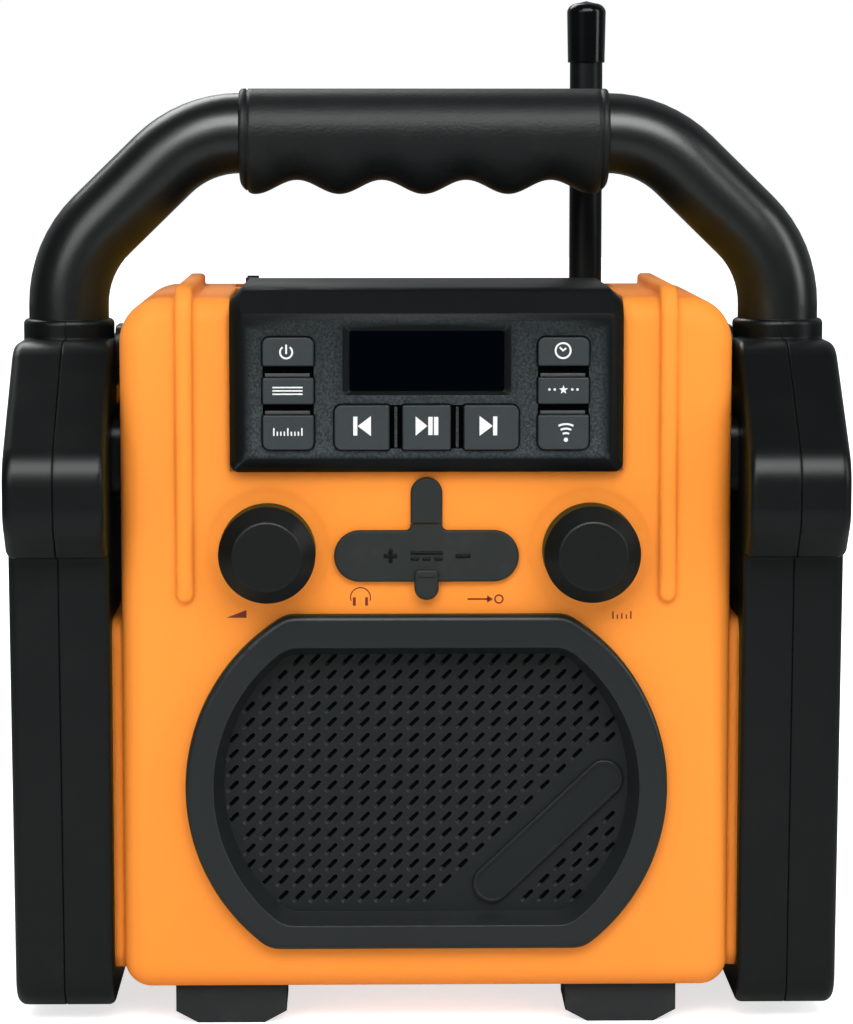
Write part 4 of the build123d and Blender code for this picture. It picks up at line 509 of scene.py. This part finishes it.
def stroke(points, width, closed=False):
    """Four-cornered loops that follow a line with an even width."""
    count = len(points)
    edges = []
    for i, (x, z) in enumerate(points):
        before = points[(i - 1) % count] if closed or i > 0 else points[i]
        after = points[(i + 1) % count] if closed or i < count - 1 else points[i]
        ways = [(b[0] - a[0], b[1] - a[1]) for a, b in ((before, (x, z)), ((x, z), after)) if a != b]
        ways = [(u / math.hypot(u, v), v / math.hypot(u, v)) for u, v in ways]
        nx, nz = -sum(v for u, v in ways), sum(u for u, v in ways)
        size = math.hypot(nx, nz)
        nx, nz = nx / size, nz / size
        reach = width / 2 / max(0.5, -nx * ways[0][1] + nz * ways[0][0])
        edges.append(((x + nx * reach, z + nz * reach), (x - nx * reach, z - nz * reach)))
    pairs = list(zip(edges, edges[1:] + edges[:1])) if closed else list(zip(edges, edges[1:]))
    return [[a[0], a[1], b[1], b[0]] for a, b in pairs]


def bar(x0, z0, x1, z1):
    """Upright rectangle."""
    return [(x0, z0), (x1, z0), (x1, z1), (x0, z1)]


SUNK = 0.01


def relief_piece(name, loops, face_y, height, material, body, at=(0.0, 0.0)):
    """Flat raised piece on a face that looks to the front, from loops in mm round a spot."""
    bm = bmesh.new()
    for loop in loops:
        bm.faces.new([bm.verts.new(((at[0] + x) * MM, (face_y + SUNK) * MM, (at[1] + z) * MM))
                      for x, z in loop])
    bmesh.ops.remove_doubles(bm, verts=bm.verts, dist=0.000002)
    bmesh.ops.recalc_face_normals(bm, faces=bm.faces)
    grown = bmesh.ops.extrude_face_region(bm, geom=bm.faces[:], use_keep_orig=True)
    tops = [v for v in grown["geom"] if isinstance(v, bmesh.types.BMVert)]
    bmesh.ops.translate(bm, verts=tops, vec=(0, -(height + SUNK) * MM, 0))
    bmesh.ops.recalc_face_normals(bm, faces=bm.faces)
    mesh = bpy.data.meshes.new(name)
    bm.to_mesh(mesh)
    bm.free()
    mesh.materials.append(material)
    piece = put(name, mesh)
    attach(piece, body)
    return piece


PANEL_FACE_Y = -51.5
KEY_FACE_Y = PANEL_FACE_Y - 1.7
INK_T = 0.05
power_sign = stroke(arc(1.75, 125, 415), 0.5) + [bar(-0.26, -0.5, 0.26, 2.2)]
menu_sign = [bar(-4.3, z - 0.2, 4.3, z + 0.2) for z in (-0.95, 0.0, 0.95)]
scale_sign = [bar(-4.0 + i - 0.2, -1.1, -4.0 + i + 0.2, 1.1 if i % 4 == 0 else 0.1) for i in range(9)]
clock_sign = stroke(arc(2.15, 0, 360, 32)[:-1], 0.52, True)
clock_sign += stroke([(-0.98, 0.94), (0.0, 0.0), (0.85, 0.68)], 0.5)
star = [(r * math.sin(math.pi * i / 5), r * math.cos(math.pi * i / 5) - 0.1)
        for i, r in enumerate([1.35, 0.56] * 5)]
star_sign = [star] + [arc(0.36, 0, 360, 12, x)[:-1] for x in (-4.0, -2.5, 2.5, 4.0)]
waves_sign = [arc(0.62, 0, 360, 16, 0, -2.1)[:-1]] + [
    quad for r in (1.9, 3.2, 4.5) for quad in stroke(arc(r, 62, 118, 12, 0, -2.1), 0.55)]
previous_sign = [bar(-2.55, -2.7, -1.38, 2.7), [(-1.28, 0.0), (2.5, -2.85), (2.5, 2.85)]]
next_sign = [[(-x, z) for x, z in loop[::-1]] for loop in previous_sign]
play_sign = [[(-3.25, -2.75), (0.12, 0.0), (-3.25, 2.75)], bar(0.36, -2.6, 1.6, 2.6),
             bar(1.98, -2.6, 3.22, 2.6)]
KEYS = [("power", power_sign, (-40.1, 199.0)), ("mode", menu_sign, (-39.75, 188.0)),
        ("scan", scale_sign, (-39.7, 176.25)), ("clock", clock_sign, (38.8, 199.4)),
        ("program", star_sign, (38.95, 188.3)), ("wireless", waves_sign, (39.7, 176.0)),
        ("previous", previous_sign, (-18.5, 177.9)), ("play", play_sign, (0.0, 177.9)),
        ("next", next_sign, (17.5, 177.9))]
for key, sign, spot in KEYS:
    dress(key_grey, "button_" + key)
    relief_piece(key + "_print", sign, KEY_FACE_Y, INK_T, white_ink, "key_" + key, spot)
dress(switch_black, "tact_switches")

# Beside every key of a group a flat black sheet paints the shadow in the slit, with a low rib left
# standing; the ribs between the stacked keys are painted a lighter grey, a painted highlight.
STACK_SLITS = [(194.95, 191.75), (184.05, 181.05)]
MIDDLE_SLITS_X = (-8.88, 8.68)
SLITS = []
for side, x in (("left", -39.6), ("right", 39.0)):
    shadow_sheets = [bar(x - 7.3, low, x + 7.3, high) for high, low in STACK_SLITS]
    ribs = [bar(x - 6.6, low + 0.15, x + 6.2, low + 1.15) for high, low in STACK_SLITS]
    SLITS.append((side, shadow_sheets, ribs, 0.8, slit_grey))
SLITS.append(("middle", [bar(x - 1.75, 171.3, x + 1.75, 183.8) for x in MIDDLE_SLITS_X],
              [bar(x - 0.4, 171.6, x + 0.4, 183.3) for x in MIDDLE_SLITS_X], 0.4, panel_black))
for side, shadow_sheets, ribs, height, material in SLITS:
    relief_piece("slits_" + side, shadow_sheets, PANEL_FACE_Y, 0.04, gap_black, "chassis")
    relief_piece("slit_ribs_" + side, ribs, PANEL_FACE_Y, height, material, "chassis")

# ---------------------------------------------------------------- knobs
# Volume and tuning: black moulded caps with a bevelled front, each pushed on a metal shaft. Nuts
# and bushings hold the two controls behind the front of the housing.
knob_black = moulding("knob_black", (0.0048, 0.0056, 0.0053), (0.0040, 0.0047, 0.0044), 0.38,
                      grain_scale=1500.0, grain_depth=0.00004, edge=(0.09, 0.09, 0.085),
                      edge_radius=0.0005, edge_strength=0.6, shine=0.5)
dress(knob_black, "volume_knob", "tuning_knob")
dress(zinc, "volume_shaft", "tuning_shaft", "volume_control", "tuning_encoder", "knob_nuts")

# ---------------------------------------------------------------- port cover and sockets
# A rubber cover on a fixed stem, bent at a thin strip. It carries raised polarity signs and a
# tab to pull. Behind it are two audio sockets and a power socket. Signs on the housing say which.
COVER_FACE_Y = -46.05
COVER_SPOT = (0.0, 138.05)
PULL_FACE_Y = COVER_FACE_Y - 1.7
PULL_SPOT = (0.0, 134.2)
HOUSING_FACE_Y = -44.0
cover_rubber = moulding("cover_rubber", (0.0205, 0.0255, 0.0245), (0.0180, 0.0225, 0.0215), 0.55,
                        grain_scale=1500.0, grain_depth=0.00002, edge=(0.05, 0.055, 0.055), dust=0.04,
                        edge_radius=0.0005, edge_strength=0.3, shine=0.3)
cover_mark = moulding("cover_mark", (0.0040, 0.0050, 0.0050), (0.0030, 0.0040, 0.0040), 0.30,
                      grain_depth=0.000004, shine=0.4)
dress(cover_rubber, "port_cover_anchor", "port_cover_flap")
dress(switch_black, "headphone_jack", "aux_jack")
dress(zinc, "usb_socket")
plus = [(-0.45, -0.45), (-0.45, -1.6), (0.45, -1.6), (0.45, -0.45), (1.6, -0.45), (1.6, 0.45),
        (0.45, 0.45), (0.45, 1.6), (-0.45, 1.6), (-0.45, 0.45), (-1.6, 0.45), (-1.6, -0.45)]
polarity = [[(1.2 * x - 10.4, 1.2 * z + 1.6) for x, z in plus]]
polarity += [bar(-4.6, 2.05, 4.6, 2.9), bar(8.4, 1.05, 12.6, 2.15)]
polarity += [bar(x - 1.15, 0.3, x + 1.15, 1.15) for x in (-3.45, 0.0, 3.45)]
relief_piece("cover_signs", polarity, COVER_FACE_Y, 0.25, cover_mark, "port_cover", COVER_SPOT)
lip = arc(0.5, 90, 270, 6, -2.0) + arc(0.5, -90, 90, 6, 2.0)
relief_piece("pull_lip", [lip], PULL_FACE_Y, 0.3, cover_rubber, "port_cover", PULL_SPOT)

wedge_sign = [[(-2.9, -1.1), (2.9, -1.1), (2.9, 1.15)]]
tick_tops = (1.15, 0.2, 0.6, 0.2, 1.15)
tick_sign = [bar(-2.6 + 1.3 * i - 0.2, -1.1, -2.6 + 1.3 * i + 0.2, top) for i, top in enumerate(tick_tops)]
input_sign = stroke([(-5.1, 0.0), (1.2, 0.0)], 0.5) + [[(0.6, -1.1), (2.3, 0.0), (0.6, 1.1)]]
input_sign += stroke(arc(1.15, 0, 360, 24, 4.0)[:-1], 0.45, True)
phones_sign = stroke(arc(2.9, -18, 198, 28, 0.0, -0.3), 0.34)
phones_sign += [bar(-2.2, -2.65, -1.35, -0.2), bar(1.35, -2.65, 2.2, -0.2)]
HOUSING_SIGNS = [("volume_sign", wedge_sign, (-55.0, 122.6)), ("tuning_sign", tick_sign, (56.7, 122.0)),
                 ("input_sign", input_sign, (17.0, 126.8)), ("phones_sign", phones_sign, (-19.1, 127.6))]
for name, sign, spot in HOUSING_SIGNS:
    relief_piece(name, sign, HOUSING_FACE_Y, INK_T, brown_ink, "chassis", spot)

# ---------------------------------------------------------------- speaker
# A full-range speaker behind a perforated plate, in a moulded ring. The plate's slots lie at 45
# degrees on a square grid, each with a ramp at its lower end, its lighter grey a painted highlight.
# Black cloth keeps dust out.
RING_MIDDLE_Z = 71.8
RING_SIDE_R = 58.5
RING_SIDE_X = 11.5
RING_TOP = 122.6
RING_LOW = 24.3
RING_UPPER = 1.15
RING_LOWER = 0.87
RING_CORNER = 9.0
PLATE_INSET = 8.75
SEEN_INSET = 11.0
GRILLE_FACE_Y = -39.0
GRILLE_BACK_Y = -37.55
SLOT_PITCH = (4.79, 4.68)
SLOT_START = (0.91 - 12 * SLOT_PITCH[0], 38.14)
SLOT_GRID = (25, 16)
SLOT_LAND = 0.3
BADGE_ENDS = ((19.2, 41.9), (52.1, 73.1))
BADGE_CLEAR = 7.5
CLOTH_INSET = PLATE_INSET + 0.6
CLOTH_FACE_Y = -37.45
CLOTH_T = 0.06

ring_grey = moulding("ring_grey", (0.0150, 0.0182, 0.0187), (0.0128, 0.0157, 0.0161), 0.34,
                     grain_scale=1800.0, grain_depth=0.00003, edge=(0.08, 0.088, 0.09),
                     edge_radius=0.0006, edge_strength=0.5)
grille_grey = moulding("grille_grey", (0.0098, 0.0132, 0.0132), (0.0082, 0.0112, 0.0112), 0.40,
                       grain_scale=2200.0, grain_depth=0.000012, edge=(0.10, 0.11, 0.11),
                       edge_radius=0.00025, edge_strength=0.7, shine=0.4)
# The ramps' lighter grey is a painted highlight on the slots' lower ends.
ramp_grey = moulding("ramp_grey", (0.045, 0.050, 0.050), (0.035, 0.040, 0.040), 0.40, grain_depth=0.000008,
                     edge_radius=0.0001)
dress(ring_grey, "speaker_bezel")
dress(grille_grey, "name_plate")


def ring_loop(inset, steps=18):
    """Speaker opening in mm round its middle: two side arcs, flat above and below."""
    radius, corner = RING_SIDE_R - inset, RING_CORNER
    top, low = RING_TOP - RING_UPPER * inset - RING_MIDDLE_Z, RING_MIDDLE_Z - RING_LOW - RING_LOWER * inset
    up, down = (math.degrees(math.asin((h - corner) / (radius - corner))) for h in (top, low))
    x_up, x_down = (RING_SIDE_X + (radius - corner) * math.cos(math.radians(a)) for a in (up, down))
    right = arc(corner, -90, -down, 6, x_down, corner - low)[:-1]
    right += arc(radius, -down, up, steps, RING_SIDE_X)
    right += arc(corner, up, 90, 6, x_up, top - corner)[1:]
    return right + [(-x, z) for x, z in right[::-1]]


def slot_spots():
    """Middles of the slots: a grid inside the outline, without the name plate's band."""
    spots = []
    (ax, az), (bx, bz) = BADGE_ENDS
    reach = RING_SIDE_R - SEEN_INSET - SLOT_LAND
    for i in range(SLOT_GRID[0]):
        for j in range(SLOT_GRID[1]):
            x, z = SLOT_START[0] + SLOT_PITCH[0] * i, SLOT_START[1] + SLOT_PITCH[1] * j
            across = abs((x - ax) * (bz - az) - (z - az) * (bx - ax)) / math.hypot(bx - ax, bz - az)
            if math.hypot(max(abs(x) - RING_SIDE_X, 0), z - RING_MIDDLE_Z) < reach and across >= BADGE_CLEAR:
                spots.append((x, z - RING_MIDDLE_Z))
    return spots


tree, given, out = group_tree(
    "slotted_plate",
    [("Geometry", GEOMETRY, None), ("Thickness", FLOAT, 1.45), ("Slot length", FLOAT, 4.7),
     ("Slot width", FLOAT, 1.25), ("Slot angle", FLOAT, math.radians(45.0)), ("Ramp", FLOAT, 1.1),
     ("Front", FLOAT, -39.0), ("Middle", FLOAT, 71.8)],
    [("Geometry", GEOMETRY)], "GeometryNodeTree")
base, thick, slot_l, slot_w, slot_a, ramp, front, middle = given.outputs[:8]
border = node_out(tree, "GeometryNodeMeshToCurve", [(0, base)])
lone = calc(tree, "LESS_THAN", node_out(tree, "GeometryNodeInputMeshVertexNeighbors"), 0.5)
middles = node_out(tree, "GeometryNodeMeshToPoints", [("Mesh", base), ("Selection", lone)])
tilt = vector(tree, Z=slot_a)
blank = node_out(tree, "GeometryNodeCurvePrimitiveQuadrilateral", [
    ("Width", slot_l), ("Height", slot_w)], mode="RECTANGLE")
oblong = node_out(tree, "GeometryNodeFilletCurve", [
    ("Curve", blank), ("Radius", calc(tree, "MULTIPLY", slot_w, 0.499)), ("Count", 4)], mode="POLY")
cuts = node_out(tree, "GeometryNodeInstanceOnPoints", [
    ("Points", middles), ("Instance", oblong), ("Rotation", tilt)])
lines = add_node(tree, "GeometryNodeJoinGeometry")
tree.links.new(node_out(tree, "GeometryNodeRealizeInstances", [(0, cuts)]), lines.inputs[0])
tree.links.new(border, lines.inputs[0])
sheet_face = node_out(tree, "GeometryNodeFillCurve", [(0, lines.outputs[0])], mode="TRIANGLES")
up = vector(tree, Z=1.0)
grown = node_out(tree, "GeometryNodeExtrudeMesh", [
    ("Mesh", sheet_face), ("Offset", up), ("Offset Scale", thick), ("Individual", False)], mode="FACES")
back = node_out(tree, "GeometryNodeFlipFaces", [(0, sheet_face)])
plate = add_node(tree, "GeometryNodeJoinGeometry")
tree.links.new(back, plate.inputs[0])
tree.links.new(grown, plate.inputs[0])
closed = node_out(tree, "GeometryNodeMergeByDistance", [(0, plate.outputs[0]), ("Distance", 0.0001)])
block_size = vector(tree, X=ramp, Y=calc(tree, "MULTIPLY", slot_w, 0.98),
                    Z=calc(tree, "MULTIPLY", thick, 0.99))
block = node_out(tree, "GeometryNodeMeshCube", [("Size", block_size)])
corner = node_out(tree, "GeometryNodeInputPosition")
corner = add_node(tree, "ShaderNodeSeparateXYZ", [(0, corner)]).outputs
far_top = calc(tree, "MULTIPLY", calc(tree, "GREATER_THAN", corner[0], 0.0),
               calc(tree, "GREATER_THAN", corner[2], 0.0))
sink = vector(tree, Z=calc(tree, "MULTIPLY", calc(tree, "MULTIPLY", far_top, thick), -0.985))
wedge = node_out(tree, "GeometryNodeSetPosition", [("Geometry", block), ("Offset", sink)])
home = vector(tree, X=calc(tree, "MULTIPLY", calc(tree, "SUBTRACT", slot_l, ramp), -0.5),
              Z=calc(tree, "MULTIPLY", thick, 0.495))
wedge = node_out(tree, "GeometryNodeTransform", [("Geometry", wedge), ("Translation", home)])
wedges = node_out(tree, "GeometryNodeInstanceOnPoints", [
    ("Points", middles), ("Instance", wedge), ("Rotation", tilt)])
wedges = node_out(tree, "GeometryNodeRealizeInstances", [(0, wedges)])
both = add_node(tree, "GeometryNodeJoinGeometry")
for part, coat in ((wedges, ramp_grey), (closed, grille_grey)):
    coated = node_out(tree, "GeometryNodeSetMaterial", [("Geometry", part), ("Material", coat)])
    tree.links.new(coated, both.inputs[0])
place = vector(tree, Y=calc(tree, "MULTIPLY", calc(tree, "ADD", front, thick), MM),
               Z=calc(tree, "MULTIPLY", middle, MM))
stand = node_out(tree, "GeometryNodeTransform", [
    ("Geometry", both.outputs[0]), ("Translation", place), ("Rotation", (math.radians(90.0), 0.0, 0.0)),
    ("Scale", (MM, MM, MM))])
tree.links.new(stand, out.inputs[0])

rim = ring_loop(PLATE_INSET)
spots = slot_spots()
mesh = bpy.data.meshes.new("grille")
rim_edges = [(i, (i + 1) % len(rim)) for i in range(len(rim))]
mesh.from_pydata([(x, z, 0.0) for x, z in rim + spots], rim_edges, [])
grille = shaped("grille", mesh, tree, "chassis", thickness=GRILLE_BACK_Y - GRILLE_FACE_Y,
                front=GRILLE_FACE_Y, middle=RING_MIDDLE_Z)
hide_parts("speaker_grille")

cloth_black, tree, shader = new_material("grille_cloth")
where = object_place(tree)
threads = [add_node(tree, "ShaderNodeTexWave", [("Vector", where), ("Scale", 320.0)],
                    bands_direction=way).outputs[1] for way in ("X", "Z")]
weave = calc(tree, "MULTIPLY", *threads)
lint = noise(tree, where, 60.0, 4.0)
tint = mixed(tree, calc(tree, "MULTIPLY", weave, lint), (0.0015, 0.0015, 0.0016),
             (0.0060, 0.0060, 0.0062))
relief = node_out(tree, "ShaderNodeBump", [("Distance", 0.00003), ("Height", weave)])
set_skin(tree, shader, tint, calc(tree, "ADD", 0.85, calc(tree, "MULTIPLY", lint, 0.1)), relief)
shader.inputs["Specular IOR Level"].default_value = 0.15
cloth_loop = ring_loop(CLOTH_INSET)
cloth = relief_piece("dust_cloth", [cloth_loop], CLOTH_FACE_Y, CLOTH_T, cloth_black, "chassis",
                     (0.0, RING_MIDDLE_Z))
cloth_sides = zip(cloth_loop, cloth_loop[1:] + cloth_loop[:1])
cloth_area = 0.5 * abs(sum(a[0] * b[1] - b[0] * a[1] for a, b in cloth_sides))

paper_black = moulding("paper_cone", (0.016, 0.016, 0.016), (0.010, 0.010, 0.010), 0.8, grain_scale=700.0,
                       grain_depth=0.00008, patch_scale=60.0)
ferrite = moulding("ferrite", (0.045, 0.045, 0.048), (0.030, 0.030, 0.032), 0.6, grain_scale=1200.0,
                   grain_depth=0.00004, patch_scale=40.0)
dress(paper_black, "speaker_cone", "dust_cap")
dress(seal, "speaker_surround")
dress(blackened, "speaker_basket")
dress(ferrite, "speaker_magnet")

# ---------------------------------------------------------------- antenna
# A flexible rubber-sheathed antenna with a smooth cap. It folds at a pin in a well behind the
# handle and clips in at the far end.
sheath = moulding("antenna_sheath", (0.0042, 0.0066, 0.0070), (0.0034, 0.0054, 0.0058), 0.34,
                  grain_scale=900.0, grain_depth=0.000006, edge=(0.03, 0.035, 0.035), shine=0.3)
cap_gloss = moulding("antenna_cap", (0.0024, 0.0032, 0.0036), (0.0018, 0.0026, 0.0030), 0.14,
                     grain_scale=900.0, grain_depth=0.000003, spread=0.05, edge=(0.02, 0.022, 0.022),
                     shine=0.4)
dress(sheath, "antenna_rod")
dress(cap_gloss, "antenna_cap")
dress(switch_black, "antenna_base", "antenna_clip")
dress(zinc, "antenna_pin")

# ---------------------------------------------------------------- handle
# A bent tube with a coarse powder coat, clamped at both ends in the side frames. The grip is a
# soft sleeve pulled over it, with five finger bumps on a web below and a thin groove at each end.
TUBE_AXIS_Z = 260.9
SLEEVE_HALF = 54.9
SLEEVE_R = 13.2
SLEEVE_BORE = 11.95
SLEEVE_EDGE_R = 1.1
SLEEVE_SIDES = 64
SLEEVE_STEP = 0.9
SLEEVE_PLAIN_FROM = 3.2
GROOVE = ((2.0, 0.0), (2.15, 0.35), (2.55, 0.35), (2.7, 0.0))

powder = moulding("powder_coat", (0.0026, 0.0036, 0.0038), (0.0020, 0.0029, 0.0031), 0.30,
                  grain_scale=1500.0, grain_depth=0.000022, edge=(0.03, 0.035, 0.035),
                  edge_strength=0.2, dust=0.004, shine=1.0)
dress(powder, "handle_tube")
grip_rubber = moulding("grip_rubber", (0.0070, 0.0090, 0.0092), (0.0058, 0.0076, 0.0078), 0.42,
                       grain_scale=1400.0, grain_depth=0.00009, edge=(0.04, 0.045, 0.045),
                       edge_strength=0.2, dust=0.02, shine=0.4)

profile = [(-SLEEVE_HALF, SLEEVE_BORE)]
profile += [(-SLEEVE_HALF + SLEEVE_EDGE_R + u, SLEEVE_R - SLEEVE_EDGE_R + v)
            for u, v in arc(SLEEVE_EDGE_R, 180, 90, 6)]
profile += [(-SLEEVE_HALF + run, SLEEVE_R - deep) for run, deep in GROOVE]
inner = int((SLEEVE_HALF - SLEEVE_PLAIN_FROM) / SLEEVE_STEP)
profile += [(-inner * SLEEVE_STEP + SLEEVE_STEP * i, SLEEVE_R) for i in range(inner + 1)]
profile += [(-x, r) for x, r in profile[-2::-1]]
points, faces = [], []
for x, r in profile:
    for k in range(SLEEVE_SIDES):
        a = 2 * math.pi * k / SLEEVE_SIDES
        points.append((x, r * math.cos(a), r * math.sin(a)))
rows = len(profile)
for i in range(rows):
    for k in range(SLEEVE_SIDES):
        n, j = (k + 1) % SLEEVE_SIDES, (i + 1) % rows
        faces.append((i * SLEEVE_SIDES + k, i * SLEEVE_SIDES + n,
                      j * SLEEVE_SIDES + n, j * SLEEVE_SIDES + k))
mesh = bpy.data.meshes.new("grip")
mesh.from_pydata(points, [], faces)
mesh.shade_smooth()

tree, given, out = group_tree(
    "finger_bumps",
    [("Geometry", GEOMETRY, None), ("Pitch", FLOAT, 25.2), ("Bump depth", FLOAT, 18.1),
     ("Hollow depth", FLOAT, 13.9), ("Sleeve radius", FLOAT, 13.2), ("Bore", FLOAT, 11.95),
     ("Last bump", FLOAT, 50.4), ("End run", FLOAT, 4.5), ("Height", FLOAT, 260.9)],
    [("Geometry", GEOMETRY)], "GeometryNodeTree")
base, pitch, bump, hollow, sleeve_r, bore, last, run, height = given.outputs[:9]
x, y, z = add_node(tree, "ShaderNodeSeparateXYZ",
                   [(0, node_out(tree, "GeometryNodeInputPosition"))]).outputs
wave = calc(tree, "COSINE", calc(tree, "DIVIDE", calc(tree, "MULTIPLY", x, 2 * math.pi), pitch))
wave = calc(tree, "MULTIPLY_ADD", wave, 0.5, 0.5)
reach = calc(tree, "MULTIPLY_ADD", calc(tree, "SUBTRACT", bump, hollow), wave,
             calc(tree, "SUBTRACT", hollow, sleeve_r))
past = calc(tree, "DIVIDE", calc(tree, "SUBTRACT", calc(tree, "ABSOLUTE", x), last), run)
past = calc(tree, "MULTIPLY", calc(tree, "MAXIMUM", past, 0.0), 0.93)
ending = calc(tree, "SQRT", calc(tree, "SUBTRACT", 1.0, calc(tree, "MULTIPLY", past, past)))
across = calc(tree, "SQRT", calc(tree, "ADD", calc(tree, "MULTIPLY", y, y),
                                 calc(tree, "MULTIPLY", z, z)))
below = calc(tree, "MAXIMUM", calc(tree, "DIVIDE", calc(tree, "MULTIPLY", z, -1.0), across), 0.0)
below = calc(tree, "POWER", below, 1.6)
skin_part = calc(tree, "DIVIDE", calc(tree, "SUBTRACT", across, bore),
                 calc(tree, "MULTIPLY", calc(tree, "SUBTRACT", sleeve_r, bore), 0.65), clamp=True)
drop = calc(tree, "MULTIPLY", calc(tree, "MULTIPLY", reach, ending),
            calc(tree, "MULTIPLY", below, skin_part))
drop = vector(tree, Z=calc(tree, "MULTIPLY", drop, -1.0))
formed = node_out(tree, "GeometryNodeSetPosition", [("Geometry", base), ("Offset", drop)])
formed = node_out(tree, "GeometryNodeSetMaterial", [("Geometry", formed), ("Material", grip_rubber)])
home = vector(tree, Z=calc(tree, "MULTIPLY", height, MM))
formed = node_out(tree, "GeometryNodeTransform", [("Geometry", formed), ("Translation", home),
                                                  ("Scale", (MM, MM, MM))])
tree.links.new(node_out(tree, "GeometryNodeRealizeInstances", [(0, formed)]), out.inputs[0])
grip = shaped("grip", mesh, tree, "chassis", sleeve_radius=SLEEVE_R, bore=SLEEVE_BORE,
              height=TUBE_AXIS_Z)
bm = bmesh.new()
bm.from_mesh(grip.data)
bmesh.ops.recalc_face_normals(bm, faces=bm.faces)
bm.to_mesh(grip.data)
bm.free()
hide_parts("handle_grip")

# ---------------------------------------------------------------- side frames
# Each frame is two moulded halves with a seam between them, screwed together around the tube.
# Orange pads and black spacers keep them off the housing.
FRAME_IN_X = 91.6
FRAME_SEAM_X = 106.1
FRAME_OUT_X = 2 * FRAME_SEAM_X - FRAME_IN_X
FRAME_SCREW_SEAT = FRAME_OUT_X - 5.0
FRAME_SCREWS = [(-32.5, 38.0), (-35.0, 126.0), (32.5, 38.0), (35.0, 126.0), (0.0, 132.0)]
frame_black = moulding("frame_black", (0.0032, 0.0043, 0.0046), (0.0026, 0.0036, 0.0038), 0.34,
                       grain_scale=1900.0, grain_depth=0.000022, edge=(0.02, 0.024, 0.025),
                       edge_radius=0.0008, edge_strength=0.15, dust=0.008, shine=0.42)
dress(frame_black, "frame_left_inner", "frame_left_outer", "frame_right_inner", "frame_right_outer",
      "hub_spacers")
dress(blackened, "frame_bolts")
screw_set("frame_screw_set", [((side * FRAME_SCREW_SEAT, y, z), (side, 0, 0))
                              for side in (-1, 1) for y, z in FRAME_SCREWS],
          "frame_screws", head_radius=0.0028, head_height=0.0022, shank_radius=0.0015, shank_length=0.016,
          key_radius=0.0014, key_depth=0.0012)

# ---------------------------------------------------------------- feet
# Four soft rubber blocks that stand the radio clear of the ground. Each is plugged into the
# underside of the housing.
foot_rubber = moulding("foot_rubber", (0.0185, 0.0235, 0.0240), (0.0155, 0.0200, 0.0205), 0.60,
                       grain_scale=1500.0, grain_depth=0.00003, edge=(0.06, 0.065, 0.065),
                       edge_strength=0.25, dust=0.05, shine=0.3)
dress(foot_rubber, "feet")

# ---------------------------------------------------------------- battery bay and inlet
# A hinged orange door with a black latch over four wrapped cells and their spring contacts, and
# the round low-voltage inlet beside it.
cell_wrap, tree, shader = new_material("cell_wrap")
where = object_place(tree)
band = add_node(tree, "ShaderNodeTexWave", [("Vector", where), ("Scale", 6.0), ("Distortion", 0.4)],
                bands_direction="X").outputs[1]
film = noise(tree, where, 300.0, 3.0)
tint = mixed(tree, band, (0.03, 0.03, 0.035), (0.30, 0.31, 0.33))
relief = node_out(tree, "ShaderNodeBump", [("Distance", 0.00001), ("Height", film)])
set_skin(tree, shader, tint, calc(tree, "ADD", 0.25, calc(tree, "MULTIPLY", film, 0.2)), relief)
dress(cell_wrap, "battery_cells")
dress(zinc, "battery_contacts")
dress(orange, "battery_door")
dress(switch_black, "battery_latch", "dc_inlet")
